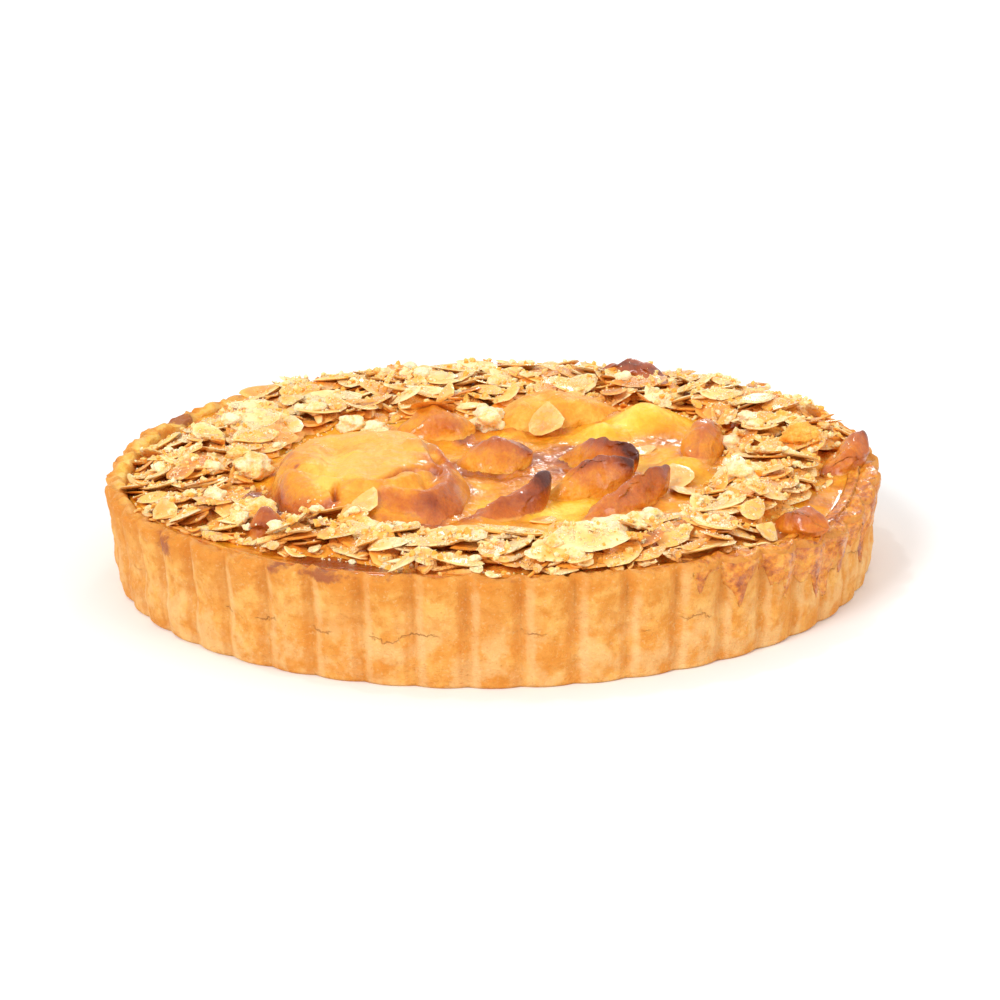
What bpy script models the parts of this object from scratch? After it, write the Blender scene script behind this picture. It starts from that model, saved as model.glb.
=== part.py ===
"""A fluted shortcrust tart: custard and apple slices inside a border of sugared almond flakes.

Metres, +Z up. The origin is at the middle of the flat underside. Directions round the tart are angles
from +X, anticlockwise from above, and the side that faces the viewer is -Y.
"""

import math
import random

import bmesh
import bpy
from mathutils import Matrix, Vector, noise

# Crust shell, as the fluted tin shapes it
RIM_RADIUS = 0.1238
BASE_RADIUS = 0.1207
CRUST_HEIGHT = 0.0320
FLUTES = 50
STEPS_PER_FLUTE = 4
FLUTE_DEPTH_RIM = 0.0038
FLUTE_DEPTH_BASE = 0.0016
FLUTE_ROUNDNESS = 0.62
FIRST_GROOVE = math.radians(-90 + 3.44)
CREASE_HEIGHT = 0.0150
CREASE_DEPTH = 0.0006
CREASE_WANDER = 0.0012
CREASE_SPAN = 0.12
BULGE_BELOW_CREASE = 0.0060
BASE_ROUNDING = 0.0007
RIM_ROUNDING = 0.0016
GROOVE_LIFT = 0.0012
# Waves along the rim: how many round it, phase, height
RIM_WAVES = ((3, 0.7, 0.00048), (8, 2.0, 0.00032))
INNER_RADIUS_TOP = 0.1172
INNER_RADIUS_FLOOR = 0.1110
INNER_EDGE_DROP = 0.0006
FLOOR_THICKNESS = 0.0050

# Where the filling has baked over the rim, which is lower there
OVERFLOW_DIRECTION = math.radians(-34)
OVERFLOW_HALF_ANGLE = math.radians(26)
OVERFLOW_DROP = 0.0036

# Custard filling
CLEARANCE = 0.0004
CUSTARD_HEIGHT = 0.0315
CUSTARD_EDGE_START = 0.1000
CUSTARD_BELOW_RIM = 0.0013
CUSTARD_RIPPLE = 0.0006
RIPPLE_SPAN = 0.018
RIPPLE_FADES = (0.060, 0.075)
MOUND_FALLOFF = 1.4
FILLING_SEGMENTS = 48
FILLING_RINGS = (0.1000, 0.0880, 0.0785, 0.0660, 0.0540, 0.0410, 0.0270, 0.0130)
CUSTARD_MOUNDS = (
    # place x, y, radius, rise
    (0.0520, 0.0385, 0.0140, 0.0075),
    (0.0365, 0.0230, 0.0075, 0.0050),
    (0.0600, -0.0190, 0.0110, 0.0055),
    (-0.0500, 0.0400, 0.0130, 0.0030),
    (0.0080, -0.0760, 0.0110, 0.0010),
)

# Apple slices: name, start, end, width, underside, ridge height at start, middle and end, bend, sharpness
SLICES = (
    ("apple_slice_back_left", (-0.0320, 0.0280), (-0.0055, 0.0340), 0.0230, 0.0255,
     (0.0355, 0.0415, 0.0360), 0.0015, 0.80),
    ("apple_slice_middle", (-0.0120, -0.0090), (0.0130, -0.0055), 0.0230, 0.0255,
     (0.0350, 0.0408, 0.0385), 0.0000, 0.85),
    ("apple_slice_centre", (0.0205, 0.0000), (0.0455, -0.0270), 0.0095, 0.0265,
     (0.0335, 0.0420, 0.0435), 0.0010, 1.20),
    ("apple_slice_front_left", (-0.0120, -0.0690), (0.0175, -0.0480), 0.0140, 0.0265,
     (0.0330, 0.0375, 0.0438), -0.0020, 1.25),
    ("apple_slice_front", (0.0145, -0.0465), (0.0435, -0.0365), 0.0140, 0.0255,
     (0.0345, 0.0430, 0.0440), -0.0005, 1.15),
    ("apple_slice_front_right", (0.0235, -0.0700), (0.0545, -0.0350), 0.0110, 0.0265,
     (0.0330, 0.0400, 0.0415), -0.0020, 1.20),
    ("apple_slice_back", (-0.0020, 0.0410), (0.0430, 0.0490), 0.0330, 0.0255,
     (0.0350, 0.0415, 0.0370), 0.0020, 0.75),
    ("apple_slice_right", (0.0660, -0.0100), (0.0725, 0.0180), 0.0140, 0.0255,
     (0.0350, 0.0425, 0.0405), 0.0010, 0.85),
    ("apple_chunk_right", (0.1030, -0.0240), (0.1190, -0.0060), 0.0120, 0.0290,
     (0.0345, 0.0395, 0.0430), 0.0000, 0.90),
    ("apple_chunk_front_right", (0.0830, -0.0655), (0.0985, -0.0750), 0.0120, 0.0275,
     (0.0325, 0.0362, 0.0335), 0.0000, 0.90),
    ("apple_slice_back_rim", (0.0330, 0.1005), (0.0625, 0.0850), 0.0110, 0.0310,
     (0.0350, 0.0405, 0.0375), 0.0030, 1.00),
    ("apple_chunk_front_left", (-0.0725, -0.0735), (-0.0605, -0.0790), 0.0110, 0.0290,
     (0.0350, 0.0402, 0.0355), 0.0000, 0.85),
)
SLICE_STATIONS = 6
SLICE_TAPER = 0.55
SLICE_POINTS = 9
SLICE_KEEL = 0.72
SLICE_BELLY = 0.30
TIP_DROP = 0.0024

# The largest piece: a whole quarter that lies flat under a skin of custard
QUARTER_PLACE = (-0.0395, -0.0280)
QUARTER_RADIUS = 0.0365
QUARTER_LENGTHENING = 0.0060
QUARTER_LONG_WAY = math.radians(100)
QUARTER_SHIFT = 0.0040
QUARTER_SHIFT_WAY = math.radians(-65)
QUARTER_TOP = 0.0420
QUARTER_FLATNESS = 6
QUARTER_SHOULDER = 0.75
QUARTER_UNDERSIDE = 0.0255
QUARTER_UNDERSIDE_SHARE = 0.90
QUARTER_STEP = 0.0032
QUARTER_STEP_WAY = math.radians(-50)
QUARTER_STEP_SPREAD = (-0.1, 0.5)
QUARTER_SEGMENTS = 26
QUARTER_RINGS = (0.99, 0.94, 0.84, 0.69, 0.60, 0.34)
QUARTER_STEP_BETWEEN = (0.61, 0.67)

# Border of almond flakes, heaped on the custard inside the rim
BORDER_SEGMENTS = 64
BORDER_TOP_STEPS = 4
BORDER_TOP_INSET = 0.01
BORDER_GAP = 0.0007
BORDER_EDGE = 0.0010
BORDER_HEAP_FRONT = 0.0028
BORDER_HEAP_BACK = 0.0040
BORDER_LUMPS = 0.0016
LUMP_SPAN = 0.012
HEAP_ROUNDNESS = 0.6
HEAP_BETWEEN = (0.06, 0.92)
BORDER_OUTER = 0.1150
BORDER_INNER = 0.0740
BORDER_INNER_FRONT = 0.0090
BORDER_INNER_BACK = 0.0170
# Waves along the inner edge: how many round it, phase, depth
BORDER_WAVES = ((5, 1.0, 0.00168), (9, 2.2, 0.00112))
# Stretches where the flakes stop short of the rim: direction, half width, amount
BARE_STRETCHES = (
    (math.radians(236), math.radians(26), 0.0075),
    (math.radians(186), math.radians(9), 0.0030),
    (math.radians(152), math.radians(22), 0.0090),
    (math.radians(-25), math.radians(30), 0.0110),
)
# Stretches where the flakes leave more of the custard open: direction, half width, amount
OPEN_STRETCHES = (
    (math.radians(32), math.radians(38), 0.0150),
    (math.radians(-58), math.radians(30), 0.0030),
)
FLAKE_CORNERS = 6
FLAKE_LENGTH = (0.0135, 0.0205)
FLAKE_WIDTH = (0.0085, 0.0118)
FLAKE_THICKNESS = 0.0013
FLAKE_TAPER = 0.20
FLAKE_PITCH = (2, 20)
FLAKE_ROLL = 12
FLAKE_SPACING = 0.0072
FLAKE_BEDDING = 0.0005
FLAKE_BEDDED_CORNERS = 2
FLAKE_RAISED_SHARE = 0.36
FLAKE_RAISED = 0.00026
FLAKE_INNERMOST = 0.12
FLAKE_FROM_APPLE = 0.30
FLAKE_REACH_UP = 0.0034
FLAKES = 112
FLAKE_TRIES = 6000
RIM_CLEARANCE = 0.0008
CUSTARD_FLAKES = (
    # place x, y, heading
    (0.0220, 0.0120, 20),
    (-0.0180, 0.0060, 100),
    (0.0060, -0.0350, 10),
    (0.0330, -0.0600, 40),
)
CUSTARD_FLAKE_SIZE = (0.0150, 0.0095)
CUSTARD_FLAKE_LEAN = (0.12, 0.10)

# Places in the noise that shape the crease, the ripple and the lumps
CREASE_NOISE = 3.1
RIPPLE_NOISE = 1.3
LUMP_NOISE = 5.7
SEED = 7
GOLDEN_RATIO = (1 + math.sqrt(5)) / 2

# Colour and roughness
PASTRY_LOOK = ((0.80, 0.47, 0.17), 0.75)
CUSTARD_LOOK = ((0.93, 0.62, 0.16), 0.40)
APPLE_LOOK = ((0.82, 0.45, 0.12), 0.35)
ALMOND_LOOK = ((0.90, 0.66, 0.32), 0.60)


def clear_scene():
    for obj in list(bpy.data.objects):
        bpy.data.objects.remove(obj)


def finish_material(name, colour, roughness):
    material = bpy.data.materials.new(name)
    material.use_nodes = True
    shader = material.node_tree.nodes["Principled BSDF"]
    shader.inputs["Base Color"].default_value = (*colour, 1)
    shader.inputs["Roughness"].default_value = roughness
    shader.inputs["Metallic"].default_value = 0
    return material


def polar(radius, turn, height):
    return Vector((radius * math.cos(turn), radius * math.sin(turn), height))


def wander(x, y, scale, channel):
    """Smooth noise between about -1 and 1 that varies over the distance scale."""
    return noise.noise(Vector((x / scale, y / scale, channel)))


def loft(name, rings, first_pole, last_pole, material):
    """A closed solid from rings of equal count, each run anticlockwise seen from the last pole's side."""
    mesh = bmesh.new()
    rows = [[mesh.verts.new(point) for point in ring] for ring in rings]
    count = len(rows[0])
    for low, high in zip(rows, rows[1:]):
        for i in range(count):
            after = (i + 1) % count
            mesh.faces.new((low[i], low[after], high[after], high[i]))
    first = mesh.verts.new(first_pole)
    last = mesh.verts.new(last_pole)
    for i in range(count):
        after = (i + 1) % count
        mesh.faces.new((rows[0][after], rows[0][i], first))
        mesh.faces.new((rows[-1][i], rows[-1][after], last))
    return object_from(name, mesh, material)


def object_from(name, mesh, material):
    data = bpy.data.meshes.new(name)
    mesh.to_mesh(data)
    mesh.free()
    obj = bpy.data.objects.new(name, data)
    bpy.context.scene.collection.objects.link(obj)
    if material:
        data.materials.append(material)
    return obj


def apply_boolean(target, operation, cutters):
    modifier = target.modifiers.new("join", "BOOLEAN")
    modifier.operation = operation
    modifier.operand_type = "COLLECTION"
    modifier.collection = cutters
    modifier.solver = "EXACT"
    bpy.context.view_layer.objects.active = target
    bpy.ops.object.modifier_apply(modifier=modifier.name)


def keep_largest_body(obj):
    """Drops the loose scraps that a cut leaves."""
    mesh = bmesh.new()
    mesh.from_mesh(obj.data)
    bodies = []
    waiting = set(mesh.verts)
    while waiting:
        body = {waiting.pop()}
        front = list(body)
        while front:
            for link in front.pop().link_edges:
                for vert in link.verts:
                    if vert in waiting:
                        waiting.discard(vert)
                        body.add(vert)
                        front.append(vert)
        bodies.append(body)
    bodies.sort(key=len)
    for body in bodies[:-1]:
        bmesh.ops.delete(mesh, geom=list(body), context="VERTS")
    mesh.to_mesh(obj.data)
    mesh.free()


def lobe(turn):
    """1 on the crest of a flute and 0 in the groove between two."""
    return abs(math.sin(FLUTES * (turn - FIRST_GROOVE) / 2)) ** FLUTE_ROUNDNESS


def hump(turn, direction, half_angle):
    """1 in the given direction, falling smoothly to 0 at half_angle on both sides of it."""
    away = abs(math.remainder(turn - direction, math.tau)) / half_angle
    return 0.5 + 0.5 * math.cos(math.pi * away) if away < 1 else 0.0


def waves(turn, rows):
    return sum(height * math.sin(count * turn + phase) for count, phase, height in rows)


def rim_height(turn):
    overflow = OVERFLOW_DROP * hump(turn, OVERFLOW_DIRECTION, OVERFLOW_HALF_ANGLE)
    return CRUST_HEIGHT + waves(turn, RIM_WAVES) - overflow


def crust():
    """The pastry case: fluted outside, plain inside, with a flat base."""
    count = FLUTES * STEPS_PER_FLUTE
    turns = [FIRST_GROOVE + math.tau * i / count for i in range(count)]

    def fluted(radius, share, height):
        depth = FLUTE_DEPTH_BASE + (FLUTE_DEPTH_RIM - FLUTE_DEPTH_BASE) * share
        return [polar(radius - depth * (1 - lobe(t)), t, height(t)) for t in turns]

    def wall(share):
        return BASE_RADIUS + (RIM_RADIUS - BASE_RADIUS) * share

    def crease(t):
        return CREASE_HEIGHT + CREASE_WANDER * wander(math.cos(t), math.sin(t), CREASE_SPAN, CREASE_NOISE)

    def rim(t):
        return rim_height(t) + GROOVE_LIFT * (1 - lobe(t))

    middle = CREASE_HEIGHT / CRUST_HEIGHT
    below = (CREASE_HEIGHT - BULGE_BELOW_CREASE) / CRUST_HEIGHT
    rings = [
        fluted(BASE_RADIUS - BASE_ROUNDING, 0, lambda t: 0.0),
        fluted(BASE_RADIUS, 0, lambda t: BASE_ROUNDING),
        fluted(wall(below) + CREASE_DEPTH, below, lambda t: crease(t) - BULGE_BELOW_CREASE),
        fluted(wall(middle) - CREASE_DEPTH, middle, crease),
        fluted(RIM_RADIUS, 1, lambda t: rim(t) - RIM_ROUNDING),
        fluted(RIM_RADIUS - RIM_ROUNDING, 1, rim),
        [polar(INNER_RADIUS_TOP, t, rim_height(t) - INNER_EDGE_DROP) for t in turns],
        [polar(INNER_RADIUS_FLOOR, t, FLOOR_THICKNESS) for t in turns],
    ]
    pastry = finish_material("pastry", *PASTRY_LOOK)
    return loft("crust", rings, Vector((0, 0, 0)), Vector((0, 0, FLOOR_THICKNESS)), pastry)


def ease(low, high, value):
    share = min(1.0, max(0.0, (value - low) / (high - low)))
    return share * share * (3 - 2 * share)


def custard_level(x, y):
    """Height of the custard: nearly flat, drawn up to just below the rim at its edge."""
    radius, turn = math.hypot(x, y), math.atan2(y, x)
    edge = ease(CUSTARD_EDGE_START, INNER_RADIUS_TOP, radius)
    level = CUSTARD_HEIGHT + (rim_height(turn) - CUSTARD_BELOW_RIM - CUSTARD_HEIGHT) * edge
    if radius > CUSTARD_EDGE_START:
        return level
    level += CUSTARD_RIPPLE * wander(x, y, RIPPLE_SPAN, RIPPLE_NOISE) * (1 - ease(*RIPPLE_FADES, radius))
    for mound_x, mound_y, size, rise in CUSTARD_MOUNDS:
        away = math.hypot(x - mound_x, y - mound_y) / size
        level += rise * math.exp(-MOUND_FALLOFF * away**2)
    return level


def slice_outline(row, grow):
    """Rings and poles of an apple slice, wider all round by grow."""
    _, start, end, width, underside, heights, bend, sharpness = row
    start, end = Vector(start).to_3d(), Vector(end).to_3d()
    direction = (end - start).normalized()
    across = Vector((-direction.y, direction.x, 0))
    start, end = start - direction * grow, end + direction * grow

    def spine(share):
        return start.lerp(end, share) + across * bend * (1 - (2 * share - 1) ** 2)

    def ridge(share):
        at_start, at_middle, at_end = heights
        outer_terms = at_start * (1 - share) * (1 - 2 * share) + at_end * share * (2 * share - 1)
        return outer_terms + at_middle * 4 * share * (1 - share)

    rings = []
    for station in range(SLICE_STATIONS):
        share = (station + 0.5) / SLICE_STATIONS
        fullness = math.sin(math.pi * share) ** SLICE_TAPER
        tip = (heights[0] if share < 0.5 else heights[2]) - TIP_DROP
        low = tip + (underside - tip) * fullness - grow
        high = tip + (ridge(share) - tip) * fullness + grow
        half = width / 2 * fullness + grow
        ring = []
        for i in range(SLICE_POINTS):
            angle = math.pi * i / (SLICE_POINTS - 1)
            side = math.copysign(abs(math.cos(angle)) ** sharpness, math.cos(angle))
            keel = SLICE_KEEL + (1 - SLICE_KEEL) * min(1.0, math.sin(angle) / SLICE_BELLY)
            point = spine(share) + across * side * keel * half
            point.z = low + (high - low) * math.sin(angle)
            ring.append(point)
        rings.append(ring)
    first, last = spine(0), spine(1)
    first.z, last.z = heights[0] - TIP_DROP, heights[2] - TIP_DROP
    return rings, first, last


def quarter_reach(turn):
    longer = QUARTER_LENGTHENING * math.cos(2 * (turn - QUARTER_LONG_WAY))
    return QUARTER_RADIUS + longer + QUARTER_SHIFT * math.cos(turn - QUARTER_SHIFT_WAY)


def quarter_outline(grow):
    """Rings and poles of the large quarter: a flat-topped mound, one step lower towards the front right."""
    turns = [math.tau * i / QUARTER_SEGMENTS for i in range(QUARTER_SEGMENTS)]

    def height(share, turn):
        rise = (QUARTER_TOP - CUSTARD_HEIGHT) * (1 - share**QUARTER_FLATNESS) ** QUARTER_SHOULDER
        step = QUARTER_STEP * ease(*QUARTER_STEP_SPREAD, math.cos(turn - QUARTER_STEP_WAY))
        return CUSTARD_HEIGHT + rise - step * ease(*QUARTER_STEP_BETWEEN, share)

    def ring(share, level):
        x, y = QUARTER_PLACE
        points = []
        for turn in turns:
            radius = quarter_reach(turn) * share + grow
            points.append(Vector((x + radius * math.cos(turn), y + radius * math.sin(turn), level(turn))))
        return points

    rings = [ring(QUARTER_UNDERSIDE_SHARE, lambda t: QUARTER_UNDERSIDE - grow)]
    for share in QUARTER_RINGS:
        rings.append(ring(share, lambda t, share=share: height(share, t) + grow))
    bottom = Vector((*QUARTER_PLACE, QUARTER_UNDERSIDE - grow))
    return rings, bottom, Vector((*QUARTER_PLACE, QUARTER_TOP + grow))


def apple_pieces():
    """The pieces of apple, each its own solid, and slightly larger copies that cut the room they lie in."""
    flesh = finish_material("baked_apple", *APPLE_LOOK)
    room = bpy.data.collections.new("slice_room")
    bpy.context.scene.collection.children.link(room)
    outlines = [("apple_quarter", quarter_outline)]
    for row in SLICES:
        outlines.append((row[0], lambda grow, row=row: slice_outline(row, grow)))
    for name, outline in outlines:
        loft(name, *outline(0.0), flesh)
        cutter = loft(name + "_room", *outline(CLEARANCE), None)
        move_to(cutter, room)
        cutter.hide_render = True
        cutter.display_type = "WIRE"
    return room


def move_to(obj, collection):
    bpy.context.scene.collection.objects.unlink(obj)
    collection.objects.link(obj)


def flake(name, centre, heading, length, width, pitch, roll):
    """One almond flake: a flat plate with a pointed and a blunt end."""
    turn = Matrix.Rotation(heading, 4, "Z") @ Matrix.Rotation(pitch, 4, "Y") @ Matrix.Rotation(roll, 4, "X")
    place = Matrix.Translation(centre) @ turn
    mesh = bmesh.new()
    outline = []
    for i in range(FLAKE_CORNERS):
        angle = math.tau * i / FLAKE_CORNERS
        narrowing = 1 - FLAKE_TAPER * math.cos(angle)
        outline.append((length / 2 * math.cos(angle), width / 2 * math.sin(angle) * narrowing))
    half = FLAKE_THICKNESS / 2
    bottom = [mesh.verts.new(place @ Vector((x, y, -half))) for x, y in outline]
    top = [mesh.verts.new(place @ Vector((x, y, half))) for x, y in outline]
    mesh.faces.new(top)
    mesh.faces.new(bottom[::-1])
    for i in range(FLAKE_CORNERS):
        after = (i + 1) % FLAKE_CORNERS
        mesh.faces.new((bottom[i], bottom[after], top[after], top[i]))
    corners = [vert.co.copy() for vert in mesh.verts]
    return object_from(name, mesh, None), corners


def border_edges(turn):
    """Inner and outer radius of the almond border in this direction."""
    front, back = max(0.0, -math.sin(turn)), max(0.0, math.sin(turn))
    inner = BORDER_INNER + BORDER_INNER_FRONT * front - BORDER_INNER_BACK * back
    inner += waves(turn, BORDER_WAVES)
    inner += sum(depth * hump(turn, way, half) for way, half, depth in OPEN_STRETCHES)
    outer = BORDER_OUTER - sum(depth * hump(turn, way, half) for way, half, depth in BARE_STRETCHES)
    return inner, outer


def border_floor(x, y):
    return custard_level(x, y) + BORDER_GAP


def border_top(radius, turn):
    inner, outer = border_edges(turn)
    share = min(1.0, max(0.0, (radius - inner) / (outer - inner)))
    x, y, _ = polar(radius, turn, 0)
    middle = (BORDER_HEAP_BACK + BORDER_HEAP_FRONT) / 2
    heap = middle + (BORDER_HEAP_BACK - middle) * math.sin(turn)
    first, last = HEAP_BETWEEN
    heap *= math.sin(math.pi * (first + (last - first) * share)) ** HEAP_ROUNDNESS
    lumps = BORDER_LUMPS * wander(x, y, LUMP_SPAN, LUMP_NOISE) * heap / middle
    return border_floor(x, y) + BORDER_EDGE + heap + lumps


def border_core(material):
    """The packed lower flakes as one uneven ring that rests on the custard."""
    mesh = bmesh.new()
    columns = []
    for i in range(BORDER_SEGMENTS):
        turn = math.tau * i / BORDER_SEGMENTS
        inner, outer = border_edges(turn)
        inset = (outer - inner) * BORDER_TOP_INSET
        step = (outer - inner - 2 * inset) / (BORDER_TOP_STEPS - 1)
        high = [inner + inset + step * j for j in range(BORDER_TOP_STEPS)]
        points = []
        for radius in (inner, CUSTARD_EDGE_START, outer):
            points.append(polar(radius, turn, border_floor(*polar(radius, turn, 0).xy)))
        for radius in reversed(high):
            points.append(polar(radius, turn, border_top(radius, turn)))
        columns.append([mesh.verts.new(point) for point in points])
    count = len(columns[0])
    for here, there in zip(columns, columns[1:] + columns[:1]):
        for j in range(count):
            after = (j + 1) % count
            mesh.faces.new((here[j], here[after], there[after], there[j]))
    return object_from("almond_border", mesh, material)


def lies_well(corners):
    """True if a flake is bedded in the border and clear of the custard and the rim."""
    bedded = 0
    for point in corners:
        radius, turn = math.hypot(point.x, point.y), math.atan2(point.y, point.x)
        inner, outer = border_edges(turn)
        if radius > INNER_RADIUS_TOP - FLAKE_THICKNESS:
            clear_from = rim_height(turn) + GROOVE_LIFT + RIM_CLEARANCE
        else:
            clear_from = custard_level(point.x, point.y) + BORDER_GAP
        if point.z < clear_from or radius > RIM_RADIUS:
            return False
        top = border_top(radius, turn)
        if point.z > top + FLAKE_REACH_UP:
            return False
        if inner < radius < outer and point.z < top - FLAKE_BEDDING:
            bedded += 1
    return bedded >= FLAKE_BEDDED_CORNERS


def clear_of_apple(centre, length):
    """False where a flake would hide a piece of apple or be cut to scraps by it."""
    room = length * FLAKE_FROM_APPLE
    quarter = centre.xy - Vector(QUARTER_PLACE)
    if quarter.length < quarter_reach(math.atan2(quarter.y, quarter.x)) + room:
        return False
    for _, start, end, width, *_ in SLICES:
        start, end = Vector(start), Vector(end)
        along = end - start
        share = min(1.0, max(0.0, (centre.xy - start).dot(along) / along.length_squared))
        if (start + along * share - centre.xy).length < width / 2 + room:
            return False
    return True


def almond_border(room):
    """Flakes laid on the core from the largest down, evenly round the border, and fused to it."""
    draw = random.Random(SEED)
    border = border_core(finish_material("almond", *ALMOND_LOOK))
    flakes = bpy.data.collections.new("flakes")
    bpy.context.scene.collection.children.link(flakes)
    placed = []
    for attempt in range(FLAKE_TRIES):
        if len(placed) == FLAKES:
            break
        turn = math.tau * (attempt / GOLDEN_RATIO % 1)
        inner, outer = border_edges(turn)
        radius = inner + (outer - inner) * draw.uniform(FLAKE_INNERMOST, 1)
        size = 1 - len(placed) / FLAKES
        length = FLAKE_LENGTH[0] + (FLAKE_LENGTH[1] - FLAKE_LENGTH[0]) * size
        width = FLAKE_WIDTH[0] + (FLAKE_WIDTH[1] - FLAKE_WIDTH[0]) * draw.random()
        heading = draw.uniform(0, math.tau)
        pitch = math.radians(draw.uniform(*FLAKE_PITCH))
        roll = math.radians(draw.uniform(-FLAKE_ROLL, FLAKE_ROLL))
        centre = polar(radius, turn, border_top(radius, turn))
        centre.z += math.sin(pitch) * length * FLAKE_RAISED_SHARE + FLAKE_RAISED
        if not clear_of_apple(centre, length):
            continue
        if any((centre.xy - other).length < FLAKE_SPACING for other in placed):
            continue
        piece, corners = flake(f"flake_{attempt}", centre, heading, length, width, pitch, roll)
        if not lies_well(corners):
            bpy.data.objects.remove(piece)
            continue
        placed.append(centre.xy)
        move_to(piece, flakes)
    apply_boolean(border, "UNION", flakes)
    remove_collection(flakes)
    apply_boolean(border, "DIFFERENCE", room)
    keep_largest_body(border)
    return border


def remove_collection(collection):
    for obj in list(collection.objects):
        bpy.data.objects.remove(obj)
    bpy.data.collections.remove(collection)


def filling(room):
    """The custard, from the crust's floor to its uneven top, with room for the apple that lies in it."""
    turns = [math.tau * i / FILLING_SEGMENTS for i in range(FILLING_SEGMENTS)]
    floor = FLOOR_THICKNESS + CLEARANCE
    foot = INNER_RADIUS_FLOOR - CLEARANCE
    brim = INNER_RADIUS_TOP - CLEARANCE * 2
    rings = [[polar(foot, t, floor) for t in turns]]
    for radius in (brim, *FILLING_RINGS):
        rings.append([polar(radius, t, custard_level(*polar(radius, t, 0).xy)) for t in turns])
    custard = finish_material("custard", *CUSTARD_LOOK)
    body = loft("filling", rings, Vector((0, 0, floor)), Vector((0, 0, custard_level(0, 0))), custard)
    flakes = bpy.data.collections.new("custard_flakes")
    bpy.context.scene.collection.children.link(flakes)
    for x, y, heading in CUSTARD_FLAKES:
        centre = Vector((x, y, custard_level(x, y) + FLAKE_THICKNESS / 2))
        turn = math.radians(heading)
        piece, _ = flake("loose_flake", centre, turn, *CUSTARD_FLAKE_SIZE, *CUSTARD_FLAKE_LEAN)
        move_to(piece, flakes)
    apply_boolean(body, "UNION", flakes)
    remove_collection(flakes)
    apply_boolean(body, "DIFFERENCE", room)
    keep_largest_body(body)
    return body


def main():
    clear_scene()
    shell = crust()
    room = apple_pieces()
    apply_boolean(shell, "DIFFERENCE", room)
    filling(room)
    almond_border(room)
    remove_collection(room)


main()
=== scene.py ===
"""A fluted apple and custard tart under sugared almond flakes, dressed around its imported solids.

Metres, +Z up, with the origin at the middle of the flat underside. Directions round the tart are angles
from +X, anticlockwise from above, and the viewer is at -Y.
"""

import math
import random

import bpy
import numpy as np
from mathutils import Matrix, Vector, noise
from mathutils.bvhtree import BVHTree


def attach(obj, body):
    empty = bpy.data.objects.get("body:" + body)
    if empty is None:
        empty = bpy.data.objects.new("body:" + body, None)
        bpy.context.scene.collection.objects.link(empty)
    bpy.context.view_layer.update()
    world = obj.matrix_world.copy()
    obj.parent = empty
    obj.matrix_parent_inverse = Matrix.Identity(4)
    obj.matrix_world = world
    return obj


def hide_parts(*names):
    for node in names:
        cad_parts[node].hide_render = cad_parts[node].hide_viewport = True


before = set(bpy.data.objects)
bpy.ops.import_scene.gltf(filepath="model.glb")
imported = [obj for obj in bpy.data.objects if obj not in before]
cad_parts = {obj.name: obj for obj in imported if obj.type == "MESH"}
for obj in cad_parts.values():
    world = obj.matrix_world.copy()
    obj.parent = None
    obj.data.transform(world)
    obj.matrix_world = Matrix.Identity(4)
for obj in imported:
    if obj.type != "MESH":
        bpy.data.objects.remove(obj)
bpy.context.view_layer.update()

bpy.ops.object.select_all(action="DESELECT")

# ---- The crust ----
# Shortcrust pastry pressed into a fluted tin: fifty round flutes outside, a plain wall inside and a flat
# base. It is baked until the rim browns, and flour still dusts the lower half. Painted shade darkens the
# grooves, the right side of each flute and a crack at the crease; painted highlight lightens each left side.
RIM_RADIUS = 0.1238
BASE_RADIUS = 0.1207
CRUST_HEIGHT = 0.0320
FLUTES = 50
FLUTE_DEPTH_RIM = 0.0038
FLUTE_DEPTH_BASE = 0.0016
FLUTE_ROUNDNESS = 0.62
GROOVE_ROUNDING = 0.007
FIRST_GROOVE = math.radians(-90 + 3.44)
CREASE_HEIGHT = 0.0150
CREASE_DEPTH = 0.0006
CREASE_WANDER = 0.0012
CREASE_SPAN = 0.12
BULGE_BELOW_CREASE = 0.0060
BASE_ROUNDING = 0.0007
RIM_ROUNDING = 0.0016
GROOVE_LIFT = 0.0012
RIM_WAVES = ((3, 0.7, 0.00048), (8, 2.0, 0.00032))
INNER_RADIUS_TOP = 0.1172
INNER_RADIUS_FLOOR = 0.1110
INNER_EDGE_DROP = 0.0006
FLOOR_THICKNESS = 0.0050
OVERFLOW_DIRECTION = math.radians(-34)
OVERFLOW_HALF_ANGLE = math.radians(26)
OVERFLOW_DROP = 0.0036
GLAZED_DIRECTION = math.radians(165)
GLAZED_HALF_ANGLE = math.radians(45)
CRUST_AROUND = FLUTES * 18
MILLIMETRE = 0.001


class Wire:
    """A value that runs between nodes, so that plain arithmetic on it adds Math nodes."""

    def __init__(self, finish, socket):
        self.finish = finish
        self.socket = socket

    def maths(self, operation, first, second):
        return self.finish.add("ShaderNodeMath", {"operation": operation}, {0: first, 1: second})

    def __add__(self, other):
        return self.maths("ADD", self, other)

    def __radd__(self, other):
        return self.maths("ADD", other, self)

    def __sub__(self, other):
        return self.maths("SUBTRACT", self, other)

    def __rsub__(self, other):
        return self.maths("SUBTRACT", other, self)

    def __mul__(self, other):
        return self.maths("MULTIPLY", self, other)

    def __abs__(self):
        return self.maths("ABSOLUTE", self, 0.0)


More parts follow.
